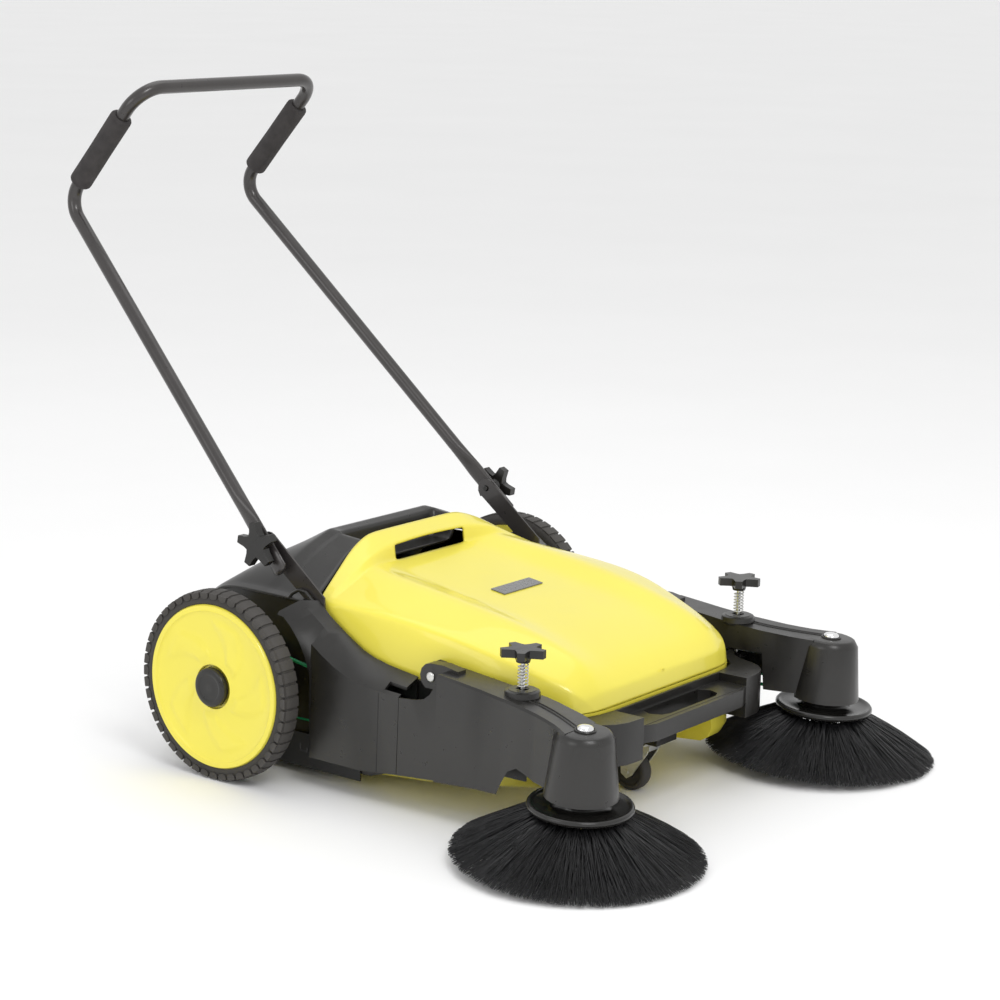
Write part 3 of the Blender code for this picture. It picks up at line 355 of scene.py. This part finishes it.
def lug(centre, side, angle, inner, outer, radius, count):
    """One tread bar with its D-shaped end on the tyre's outer shoulder."""
    pitch = math.tau / count
    low, high = radius - 4.0, radius - 0.1

    def spot(x, r, a):
        return Vector((side * x, centre.y + r * math.cos(a), centre.z + r * math.sin(a)))

    shape = [(-0.40, 0.0), (-0.40, 0.55), (-0.31, 0.82), (-0.14, 0.97), (0.14, 0.97), (0.31, 0.82),
             (0.40, 0.55), (0.40, 0.0)]
    bar = []
    stations = ((inner + 4.0, high - 0.6), (inner + 7.0, high), (outer - 9.0, high),
                (outer - 4.5, high - 2.2))
    for x, top in stations:
        corners = ((low, -0.43), (top, -0.38), (top, 0.38), (low, 0.43))
        bar.append([spot(x, r, angle + f * pitch) for r, f in corners])
    face = []
    for x, scale in ((outer - 5.0, 1.0), (outer - 0.4, 1.0), (outer - 0.1, 0.8)):
        reach = 9.0
        face.append([spot(x, high - 2.0 - reach * depth, angle + f * scale * pitch) for f, depth in shape])
    return merge([bridge(bar), bridge(face)])


def make_tyres():
    for name, side in SIDES.items():
        low, high = box_mm(f"tyre_{name}")
        centre = joint_mm(f"wheel_{name}_spin")
        inner, outer = sorted((abs(low.x), abs(high.x)))
        radius = (high.z - low.z) / 2
        parts = [turned(tyre_profile(inner, outer, radius), centre, (side, 0, 0), 128)]
        parts += [lug(centre, side, math.tau * k / LUGS, inner, outer, radius, LUGS) for k in range(LUGS)]
        make_piece(f"tread_{name}", *merge(parts), "tyre", f"wheel_{name}", "tyre", [f"tyre_{name}"])


def disc_height(r, t):
    """Depth of the disc's face below its rim: a dish with a flower of raised, curved petals."""
    share = (r - DISH_IN) / (DISH_OUT - DISH_IN)
    dish = 8.0 * math.sin(math.pi * min(max(share, 0.0), 1.0)) ** 0.7 * 0.55 + 2.4
    swirl = math.cos(PETALS * (t + 0.9 * share))
    edge = min(max((swirl - 0.05) / 0.35, 0.0), 1.0)
    length = min(max((share - 0.10) / 0.10, 0.0), max((0.86 - share) / 0.10, 0.0), 1.0)
    return dish - 2.2 * edge * edge * (3 - 2 * edge) * length


def make_discs():
    for name, side in SIDES.items():
        low, high = box_mm(f"wheel_disc_{name}")
        centre = joint_mm(f"wheel_{name}_spin")
        inner, outer = sorted((abs(low.x), abs(high.x)))
        rim = (high.z - low.z) / 2
        radii = [27.5, 30, 31, 33, 37, 40, 43, 46, 50, 55, 61, 68, 75, 82, 86, 89, 92, 95, 99, 102, 104,
                  105.5, 107, 109, rim - 1.5, rim]
        steps = 144
        rings = []
        for r in radii:
            ring = []
            for k in range(steps):
                t = math.tau * k / steps
                if DISH_IN <= r <= DISH_OUT:
                    depth = disc_height(r, t)
                else:
                    depth = 0.4 if DISH_OUT + 1 < r < rim - 1 else 2.2
                depth = 9.0 if r < DISH_IN else depth
                depth = 2.6 if r == rim else depth
                x = outer - depth
                ring.append(Vector((side * x, centre.y + r * math.cos(t), centre.z + r * math.sin(t))))
            rings.append(ring)
        back = [(rim, inner + 1), (rim - 9, inner + 1), (rim - 9, outer - 13), (27.5, outer - 13)]
        for r, x in back:
            turns = (math.tau * k / steps for k in range(steps))
            rings.append([Vector((side * x, centre.y + r * math.cos(t), centre.z + r * math.sin(t)))
                          for t in turns])
        bush = [(8, outer - 12), (28, outer - 12), (28, inner - 4), (8, inner - 4)]
        hub = turned(bush, centre, (side, 0, 0), 48)
        make_piece(f"disc_{name}", *merge([bridge(rings, loop=True), hub]), "yellow", f"wheel_{name}",
                   "yellow_plastic", [f"wheel_disc_{name}"], smooth=45)


def round_piece(node, mat, body, slot, axis, profile):
    """A smooth turned piece in a CAD node's box: profile points are shares of its radius and length."""
    low, high = box_mm(node)
    centre, half = (low + high) / 2, (high - low) / 2
    length = max(abs(half.dot(Vector(axis))), 0.1)
    radius = half.z
    points = [(radius * r, length * h) for r, h in profile]
    make_piece(f"{node}_turned", *turned(points, centre, axis, 96), mat, body, slot, [node], smooth=45)


def make_round_pieces():
    """Hub caps, arm pins and the caster's wheel, whose rims show as true circles."""
    cap = [(0.02, -1.0), (0.97, -1.0), (1.0, -0.9), (1.0, 0.35), (0.985, 0.62), (0.94, 0.84), (0.87, 0.95),
           (0.78, 1.0), (0.70, 0.99), (0.66, 0.90), (0.62, 0.86), (0.30, 0.92), (0.02, 0.94)]
    pin = [(0.02, -1.0), (0.59, -1.0), (0.59, 0.81), (1.0, 0.82), (1.0, 0.90), (0.92, 0.95), (0.70, 0.985),
           (0.40, 1.0), (0.02, 1.0)]
    tread = [(0.20, -0.98), (0.34, -0.98), (0.38, -0.72), (0.70, -0.72), (0.75, -0.96), (0.90, -0.96),
             (0.97, -0.78), (1.0, -0.45), (1.0, 0.45), (0.97, 0.78), (0.90, 0.96), (0.75, 0.96),
             (0.70, 0.72), (0.38, 0.72), (0.34, 0.98), (0.20, 0.98)]
    rolled = [(5.4, 48), (24, 48), (50, 61), (64, 62.2), (67.2, 63.6), (68.4, 66.4), (68.2, 69.2),
              (66.6, 71.2), (64.2, 71.4), (61.8, 69.6), (58, 68.0), (40, 67.5), (36, 68.6),
              (33.4, 72), (31.4, 79),
              (30, 82), (5.4, 82)]
    bolt = [(0.2, 42), (11, 42), (11, 46), (5, 46), (5, 167.2), (10.3, 167.2), (10.9, 168.0), (11, 169.4),
            (10.2, 171.2), (8.4, 172.6), (5, 173.6), (0.2, 174)]
    for name, side in SIDES.items():
        turn, foot = brush_matrix(name)
        upright = turn @ np.array([0.0, 0.0, 1.0])
        make_piece(f"collar_{name}", *turned(rolled, foot, upright), "gloss", f"side_brush_{name}",
                   "black_plastic", [f"brush_collar_{name}"], smooth=50)
        make_piece(f"bolt_{name}", *turned(bolt, foot, upright, 48), "chrome", f"side_arm_{name}", "chrome",
                   [f"brush_bolt_{name}"], smooth=40)
        outward = (side, 0, 0)
        round_piece(f"hub_cap_{name}", "black", f"wheel_{name}", "black_plastic", outward, cap)
        round_piece(f"arm_pin_{name}", "steel", "chassis", "zinc_steel", outward, pin)
    round_piece("caster_wheel", "tyre", "caster_roll", "tyre", (1, 0, 0), tread)


# --- Bristles --------------------------------------------------------------------------------


def strands(roots, tips, sag, thick, cuts=4, sides=3):
    """Thin tapered fibres as one mesh. roots, tips and sag are arrays of points; sag bows the middle."""
    count = len(roots)
    along = (tips - roots) / np.linalg.norm(tips - roots, axis=1, keepdims=True)
    u = np.cross(along, [0.31, 0.17, 0.93])
    u /= np.linalg.norm(u, axis=1, keepdims=True)
    v = np.cross(along, u)
    layers = []
    for c in range(cuts + 1):
        s = c / cuts
        middle = roots + (tips - roots) * s + sag * (4 * s * (1 - s))
        size = thick * (1 - 0.55 * s)
        for k in range(sides):
            t = math.tau * k / sides
            layers.append(middle + (u * math.cos(t) + v * math.sin(t)) * size)
    verts = np.stack(layers, 1).reshape(-1, 3)
    per = (cuts + 1) * sides
    pattern = [(c * sides + k, c * sides + (k + 1) % sides,
                (c + 1) * sides + (k + 1) % sides, (c + 1) * sides + k)
               for c in range(cuts) for k in range(sides)]
    faces = (np.arange(count)[:, None, None] * per + np.array(pattern)[None]).reshape(-1, 4)
    return verts, faces


def make_fibres(name, verts, faces, mat, body, nodes=()):
    mesh = bpy.data.meshes.new(name)
    mesh.from_pydata((verts * MM).tolist(), [], faces.tolist())
    mesh.materials.append(MATS[mat])
    mesh.shade_smooth()
    obj = bpy.data.objects.new(name, mesh)
    bpy.context.scene.collection.objects.link(obj)
    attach(obj, body)
    if nodes:
        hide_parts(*nodes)
    return obj


def brush_matrix(name):
    """From the brush's own frame, floor point and axis, to the machine's, in millimetres."""
    joint = JOINTS[f"side_brush_{name}_spin"]
    turn = Vector((0, 0, 1)).rotation_difference(Vector(joint["axis"])).to_matrix()
    return np.array(turn), np.array(joint["pos_m"]) / MM


def make_side_brushes(tufts=44, per_tuft=104):
    rng = np.random.default_rng(7)
    for name in SIDES:
        turn, foot = brush_matrix(name)
        radius = 166.0
        count = tufts * per_tuft
        tuft = np.repeat(np.arange(tufts), per_tuft) * math.tau / tufts
        depth = rng.random(count)
        root_t = tuft + rng.normal(0, 0.035, count)
        tip_t = tuft + rng.normal(0, 0.085, count)
        root_r, root_z = 57.5 - 28 * depth, 60.5 - 18 * depth
        tip_r = radius - 1.5 - 12 * rng.random(count) ** 2 - 5 * depth
        tip_z = 1.6 + 0.052 * (radius - tip_r) * 9 - 1.2 * depth
        roots = np.stack([root_r * np.cos(root_t), root_r * np.sin(root_t), root_z], 1)
        tips = np.stack([tip_r * np.cos(tip_t), tip_r * np.sin(tip_t), tip_z], 1)
        bow = (2.4 - 4.5 * depth + rng.normal(0, 0.5, count))[:, None] * np.array([[0, 0, 1.0]])
        bow = bow + rng.normal(0, 0.9, (count, 3)) * np.array([[1, 1, 0.2]])
        verts, faces = strands(roots, tips, bow, 0.66)
        make_fibres(f"fibres_{name}", verts @ turn.T + foot, faces, "bristle", f"side_brush_{name}",
                    [f"brush_bristles_{name}"])
        core = [(28, 43), (50, 56), (78, 43), (112, 24), (128, 14), (112, 15), (60, 30)]
        verts, faces = turned(core, (0, 0, 0), (0, 0, 1), 72)
        placed = [tuple(p) for p in np.array(verts) @ turn.T + foot]
        make_piece(f"fibre_bed_{name}", placed, faces, "bristle", f"side_brush_{name}", "bristle")


def make_roller_brush(rows=6, stations=110, per_spot=9):
    rng = np.random.default_rng(11)
    low, high = box_mm("roller_bristles")
    centre = joint_mm("main_roller_spin")
    half, radius = high.x - 1.5, (high.z - low.z) / 2
    spots = rows * stations
    row = np.repeat(np.arange(rows), stations)
    x = np.tile(np.linspace(-half + 2, half - 2, stations), rows)
    base = row * math.tau / rows + math.radians(40) * np.abs(x) / half + math.radians(7)
    base, x = np.repeat(base, per_spot), np.repeat(x, per_spot)
    count = spots * per_spot
    root_t, tip_t = base + rng.normal(0, 0.02, count), base + rng.normal(0, 0.07, count)
    root_x = np.clip(x + rng.normal(0, 1.0, count), -half, half)
    tip_x = np.clip(x + rng.normal(0, 2.2, count), -half, half)
    tip_r = radius - 0.6 - 4 * rng.random(count) ** 2
    roots = np.stack([root_x, centre.y + 27 * np.cos(root_t), centre.z + 27 * np.sin(root_t)], 1)
    tips = np.stack([tip_x, centre.y + tip_r * np.cos(tip_t), centre.z + tip_r * np.sin(tip_t)], 1)
    verts, faces = strands(roots, tips, rng.normal(0, 0.8, (count, 3)), 0.7, cuts=2)
    make_fibres("roller_fibres", verts, faces, "bristle", "main_roller", ["roller_bristles"])


# --- Hood and housing ------------------------------------------------------------------------

HOOD_X = [0, 78, 105, 145, 235, 239, 240]
HOOD_REAR = [
    [(91, 314), (91, 314), (91, 313), (84, 298), (61, 250), (58, 226), (44, 152.2)],
    [(60, 304), (60, 300), (58, 297), (55, 290), (50, 250), (48, 222), (42, 152.2)],
    [(57, 277), (57, 277), (55, 279), (46, 282), (40, 249), (38, 216), (36, 152.2)],
]
HOOD_BODY = [  # y, panel height, ridge height, shoulder x and height, side x
    (20, 268, 278, 235, 248.5, 240), (-20, 261, 274.5, 234, 247, 240), (-60, 255, 269.5, 233, 245, 240),
    (-100, 249.5, 264, 231, 242.5, 239), (-140, 244, 257.5, 227.5, 238, 237),
    (-180, 237.5, 250, 222, 230, 231), (-220, 230.5, 241, 213, 218.5, 223),
    (-260, 221, 230.5, 204, 207, 213), (-300, 208, 216, 192, 193, 199), (-326, 195, 200, 181, 181, 186),
]
HOOD_NOSE = [
    [(0, -343, 175), (78, -343, 175), (105, -343, 175), (140, -341.5, 175), (168, -336, 169),
     (179, -331, 162), (181, -330, 152.2)],
    [(0, -347, 152.2), (78, -347, 152.2), (105, -347, 152.2), (135, -346.5, 152.2), (154, -344, 152.2),
     (168, -339.5, 152.2), (176, -334.5, 152.2)],
]
HOOD_WALL, HOUSING_WALL = 3.0, 3.0
CREASED_COLUMNS = {3: 0.35, 4: 0.45, 6: 1.0}


def shell_piece(name, rows, wall, mat, body, slot, node, creases, row_creases, holes=()):
    """A half sheet mirrored into a whole one, creased, subdivided and thickened inward."""
    full = [[Vector((-p[0], p[1], p[2])) for p in reversed(row[1:])] + [Vector(p) for p in row]
            for row in rows]
    width = len(full[0])
    middle = width // 2
    verts, faces = bridge(full, closed_ring=False, caps=False)
    faces = [f for i, f in enumerate(faces) if divmod(i, width - 1) not in holes]
    piece = make_piece(name, verts, faces, mat, body, slot, [node], smooth=180)
    mesh = piece.data
    if sum(p.normal.z for p in mesh.polygons) < 0:
        mesh.flip_normals()
    attribute = mesh.attributes.new("crease_edge", "FLOAT", "EDGE")
    edge_faces = {}
    for polygon in mesh.polygons:
        for key in polygon.edge_keys:
            edge_faces[key] = edge_faces.get(key, 0) + 1
    for edge in mesh.edges:
        (ra, ca), (rb, cb) = (divmod(v, width) for v in edge.vertices)
        value = 0.0
        if ca == cb:
            value = creases.get(abs(ca - middle), 0.0)
        elif ra == rb:
            value = row_creases.get(ra, 0.0)
        if edge_faces.get(tuple(sorted(edge.vertices)), 0) < 2:
            value = 0.9
        attribute.data[edge.index].value = value
    smooth = piece.modifiers.new("smooth", "SUBSURF")
    smooth.levels = 3
    smooth.render_levels = 3
    thick = piece.modifiers.new("wall", "SOLIDIFY")
    thick.thickness = wall * MM
    thick.offset = -1.0
    return piece


def make_hood():
    rows = [[(x, y, z) for x, (y, z) in zip(HOOD_X, row)] for row in HOOD_REAR]
    for y, panel, ridge, shoulder, shoulder_z, side_x in HOOD_BODY:
        rows.append([(0, y, panel), (78, y, panel), (105, y, panel + 0.8), (145, y, ridge),
                     (shoulder, y, shoulder_z), (side_x - 1, y, shoulder_z - 20), (side_x, y, 152.2)])
    rows += HOOD_NOSE
    middle = len(HOOD_X) - 1
    holes = {(1, middle - 1), (1, middle)}
    last = len(rows) - 1
    shell_piece("hood_shell", rows, HOOD_WALL, "yellow", "container", "yellow_plastic", "container_hood",
                CREASED_COLUMNS, {0: 0.6, 1: 0.5, 2: 0.5, last - 1: 0.5, last: 1.0}, holes)
    front = box_mm("container_hood")[0].y
    button = [(0.1, 0), (2.2, 0), (2.2, 0.8), (1.4, 1.3), (0.1, 1.4)]
    dot = turned(button, (0, front + 2.2, 178), (0, -1, 0.12), 24)
    make_piece("nose_dot", *dot, "yellow", "container", "yellow_plastic")


HOUSING_X = [0, 92, 106, 150, 200, 238, 251]
HOUSING_ROWS = [
    ([93.5, 93.5, 93.5, 86.5, 73, 64.5, 63], [273, 273, 306, 292, 268, 250, 247]),
    (130, [273, 273, 309, 294, 270, 251, 248]), (138, [308, 309, 311, 296, 271, 251, 248]),
    (156, [312, 312, 312, 298, 273, 252, 248]), (200, [288, 288, 288, 284, 270, 251.5, 248]),
    (220, [274, 274, 274, 272, 263, 250, 245]), (240, [257, 257, 257, 256, 251, 244, 238]),
    (270, [225, 225, 225, 225, 222, 218, 212]), (290, [186, 186, 186, 186, 185, 183, 180]),
    (299, [145, 145, 145, 145, 145, 145, 145]), (301, [74, 74, 74, 74, 74, 74, 74]),
]


def make_housing():
    rows = []
    for depth, heights in HOUSING_ROWS:
        depths = depth if isinstance(depth, list) else [depth] * len(HOUSING_X)
        rows.append(list(zip(HOUSING_X, depths, heights)))
    shell_piece("housing_shell", rows, HOUSING_WALL, "black", "chassis", "black_plastic", "rear_housing",
                {1: 0.8, 2: 0.8, 3: 0.3, 5: 0.5}, {0: 1.0, 1: 0.7, 2: 0.7, 3: 0.5})


# --- Handle, springs and small parts -----------------------------------------------------------

KNEE, TOP_CORNER = Vector((185.6, 590.3, 745.0)), Vector((187.3, 442.0, 914.0))
KNEE_BEND, TOP_BEND = 35.0, 42.0
TUBE_R, TAIL = 9.8, 50.0


def make_handle():
    pivot = joint_mm("handle_fold")
    bar_face = box_mm("handle_bar_left")[1].x
    hinge = Vector((bar_face + 6.7, pivot.y, pivot.z))
    along = (KNEE - hinge).normalized()
    reach = (-TAIL, -TAIL + 1.5, -TAIL + 5, -20, 0, 25, 38, 50, 66, 80, 100)
    shapes = [(0.55, 0.30), (0.95, 0.42), (1.35, 0.42), (1.35, 0.42), (1.35, 0.42), (1.35, 0.42),
              (1.34, 0.46), (1.25, 0.6), (1.12, 0.82), (1.02, 0.97)]
    lower = [hinge + along * step for step in reach]
    bends = rounded_path([hinge, KNEE, TOP_CORNER, Vector((0, TOP_CORNER.y, TOP_CORNER.z))],
                         [KNEE_BEND, TOP_BEND])[1:]
    half = lower + bends
    path = half + [Vector((-p.x, p.y, p.z)) for p in reversed(half[:-1])]

    def squash(i):
        end = min(i, len(path) - 1 - i)
        return shapes[end] if end < len(shapes) else (1.0, 1.0)

    make_piece("handle_frame", *swept(path, TUBE_R, 28, squash), "paint", "handle", "dark_paint",
               ["handle_tube"])
    slope = (TOP_CORNER - KNEE).normalized()
    start, length = KNEE + slope * 37, 132.0
    for name, side in SIDES.items():
        bore, outer = TUBE_R + 0.4, 16.4
        profile = [(bore, 0), (outer - 3.5, 0), (outer - 1.4, 0.8), (outer - 0.3, 2.6), (outer, 6),
                   (outer - 0.35, length / 2), (outer, length - 6), (outer - 0.3, length - 2.6),
                   (outer - 1.4, length - 0.8), (outer - 3.5, length), (bore, length)]
        centre, axis = Vector((side * start.x, start.y, start.z)), Vector((side * slope.x, slope.y, slope.z))
        grip = make_piece(f"grip_sleeve_{name}", *turned(profile, centre, axis, 64), "foam", "handle",
                          "grip_foam", [f"foam_grip_{name}"], smooth=60)
        rivet = hinge + along * 24
        head = turned([(0.1, 4.0), (6.0, 4.0), (5.6, 5.6), (3.5, 6.8), (0.1, 7.2)],
                      (side * rivet.x, rivet.y, rivet.z), (side, 0, 0), 28)
        make_piece(f"handle_rivet_{name}", *head, "chrome", "handle", "chrome")


def make_springs():
    for name in SIDES:
        low, high = box_mm(f"adjuster_spring_{name}")
        centre = (low + high) / 2
        wire = 0.95
        coil = (high.x - low.x) / 2 - wire
        turns, per_turn = 7, 26
        path = []
        for k in range(turns * per_turn + 1):
            t = math.tau * k / per_turn
            share = k / (turns * per_turn)
            height = low.z + wire + (high.z - low.z - 2 * wire) * (0.04 + 0.92 * share)
            path.append((centre.x + coil * math.cos(t), centre.y + coil * math.sin(t), height))
        spring = make_piece(f"coil_{name}", *swept(path, wire, 10), "steel", "chassis", "zinc_steel",
                            [f"adjuster_spring_{name}"])
        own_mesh(spring)


BELT_STEP = 0.012  # longest edge of a belt, in metres


def make_belts():
    """Drive belts: round cords, their long edges cut short."""
    for name in SIDES:
        mesh = frame["nodes"][f"drive_belt_{name}"].data.copy()
        bm = bmesh.new()
        bm.from_mesh(mesh)
        bmesh.ops.remove_doubles(bm, verts=bm.verts, dist=0.00001)
        for _ in range(5):
            long_edges = [edge for edge in bm.edges if edge.calc_length() > BELT_STEP]
            bmesh.ops.subdivide_edges(bm, edges=long_edges, cuts=1, use_grid_fill=False)
        bmesh.ops.triangulate(bm, faces=bm.faces)
        bm.to_mesh(mesh)
        bm.free()
        mesh.shade_smooth()
        mesh.materials.clear()
        mesh.materials.append(MATS["belt"])
        belt = bpy.data.objects.new(f"belt_{name}", mesh)
        bpy.context.scene.collection.objects.link(belt)
        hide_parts(f"drive_belt_{name}")
        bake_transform(belt)


def arm_top(y):
    """Height of the arm's top face at y."""
    line = [(-425, 177.4), (-390, 180.5), (-356, 183.5), (-330, 186), (-290, 189.5), (-255, 193), (-184, 200)]
    return float(np.interp(y, [p[0] for p in line], [p[1] for p in line]))


def make_arm_details():
    """Raised lips on the arm: a curved pair from the adjuster's boss to the bolt, and a rim round each."""
    for name, side in SIDES.items():
        rod_x, rod_y = 255.5, -300.0
        bolt = joint_mm(f"side_brush_{name}_spin") + Vector(JOINTS[f"side_brush_{name}_spin"]["axis"]) * 167
        parts = []
        for offset in (-3.2, 3.2):
            path = []
            for k in range(25):
                s = k / 24
                y = rod_y - 20 + (bolt.y + 14 - rod_y + 20) * s
                x = rod_x + 9 + (abs(bolt.x) - rod_x - 9) * s ** 1.5 + offset
                path.append((side * x, y, arm_top(y) + 0.2))
            parts.append(swept(path, 1.1, 8))
        rim = [(11.6, -1.0), (14.2, -1.0), (14.2, 1.0), (13.4, 1.9), (12.4, 1.9), (11.6, 1.0)]
        axis = Vector(JOINTS[f"side_brush_{name}_spin"]["axis"])
        parts.append(turned(rim, bolt, axis, 48))
        washer = [(8.0, 195.5), (19.0, 195.5), (18.2, 197.2), (9.0, 197.2)]
        parts.append(turned(washer, (side * rod_x, rod_y, 0), (0, 0, 1), 48))
        make_piece(f"arm_lips_{name}", *merge(parts), "black", f"side_arm_{name}", "black_plastic")


def make_cover_details():
    """On each side cover: the lip of the pocket that the handle bar rises from, and the seam line."""
    lip = [(104, 247), (98, 254), (86, 261), (73, 259), (57, 246), (44, 235), (36, 228)]
    for name, side in SIDES.items():
        low, high = box_mm(f"side_cover_{name}")
        outer = max(abs(low.x), abs(high.x))
        path = [Vector((side * 249.0, y, z)) for y, z in lip]
        parts = [swept(rounded_path(path, [6] * (len(path) - 2), 5), 2.4, 10)]
        make_piece(f"pocket_lip_{name}", *merge(parts), "black", "chassis", "black_plastic")
        seam = [Vector((side * (outer - 3.4), -87, 157)), Vector((side * (outer - 1.6), -87, 100)),
                Vector((side * (outer + 0.1), -87, 49))]
        clip = [Vector((side * (outer + 0.2), y, z)) for y, z in ((46, 62), (46, 52), (34, 52), (34, 57))]
        parts = [swept(seam, 0.45, 6), swept(clip, 0.9, 6)]
        make_piece(f"cover_seam_{name}", *merge(parts), "rubber", "chassis", "black_plastic")


# --- Stage -----------------------------------------------------------------------------------


CAMERA_DEGREES = (-52.914, 12.155, 1.252)  # azimuth, elevation, roll
CAMERA_PLACE = (-2.9566, -2.2990, 1.1667)  # metres
CAMERA_LENS = 98.31
FLOOR_REACH = 80000


def make_camera():
    azimuth, elevation, roll = (math.radians(a) for a in CAMERA_DEGREES)
    right = Vector((math.cos(azimuth), math.sin(azimuth), 0))
    back = Vector((math.sin(azimuth) * math.cos(elevation), -math.cos(azimuth) * math.cos(elevation),
                   math.sin(elevation)))
    up = back.cross(right)
    across = right * math.cos(roll) + up * math.sin(roll)
    upward = up * math.cos(roll) - right * math.sin(roll)
    turn = Matrix((across, upward, back)).transposed().to_4x4()
    data = bpy.data.cameras.new("camera")
    data.lens = CAMERA_LENS
    data.sensor_width = 36.0
    camera = bpy.data.objects.new("camera", data)
    camera.matrix_world = Matrix.Translation(CAMERA_PLACE) @ turn
    bpy.context.scene.collection.objects.link(camera)
    bpy.context.scene.camera = camera


def area_light(name, place, aim, size, power):
    data = bpy.data.lights.new(name, "AREA")
    data.shape = "RECTANGLE"
    data.size, data.size_y = size
    data.energy = power
    lamp = bpy.data.objects.new(name, data)
    lamp.location = place
    lamp.rotation_euler = (Vector(aim) - Vector(place)).to_track_quat("-Z", "Y").to_euler()
    bpy.context.scene.collection.objects.link(lamp)


def make_stage():
    world = bpy.data.worlds.new("studio")
    world.use_nodes = True
    world.node_tree.nodes["Background"].inputs["Color"].default_value = (1.0, 1.0, 1.0, 1.0)
    world.node_tree.nodes["Background"].inputs["Strength"].default_value = 0.88
    bpy.context.scene.world = world
    bpy.context.scene.view_settings.view_transform = "Standard"
    area_light("key", (-1.6, -2.6, 3.2), (0, -0.1, 0.2), (1.3, 1.3), 44)
    area_light("fill", (-3.4, 0.6, 1.5), (0, 0, 0.2), (1.6, 1.2), 12)
    area_light("top", (0.6, 0.4, 3.4), (0, 0, 0.2), (2.4, 2.4), 18)
    verts = [(x * FLOOR_REACH, y * FLOOR_REACH, 0) for x, y in ((-1, -1), (1, -1), (1, 1), (-1, 1))]
    mesh = bpy.data.meshes.new("floor")
    mesh.from_pydata([Vector(v) * MM for v in verts], [], [(0, 1, 2, 3)])
    floor = bpy.data.objects.new("floor", mesh)
    mesh.materials.append(surface("floor_paint", (0.93, 0.93, 0.93), 0.7, tint=0.01, patch=1.0, grain=0.02))
    bpy.context.scene.collection.objects.link(floor)


make_camera()
make_stage()
dress_kept_nodes()
make_tyres()
make_discs()
make_round_pieces()
make_side_brushes()
make_roller_brush()
make_hood()
make_housing()
make_handle()
make_springs()
make_belts()
make_arm_details()
make_cover_details()
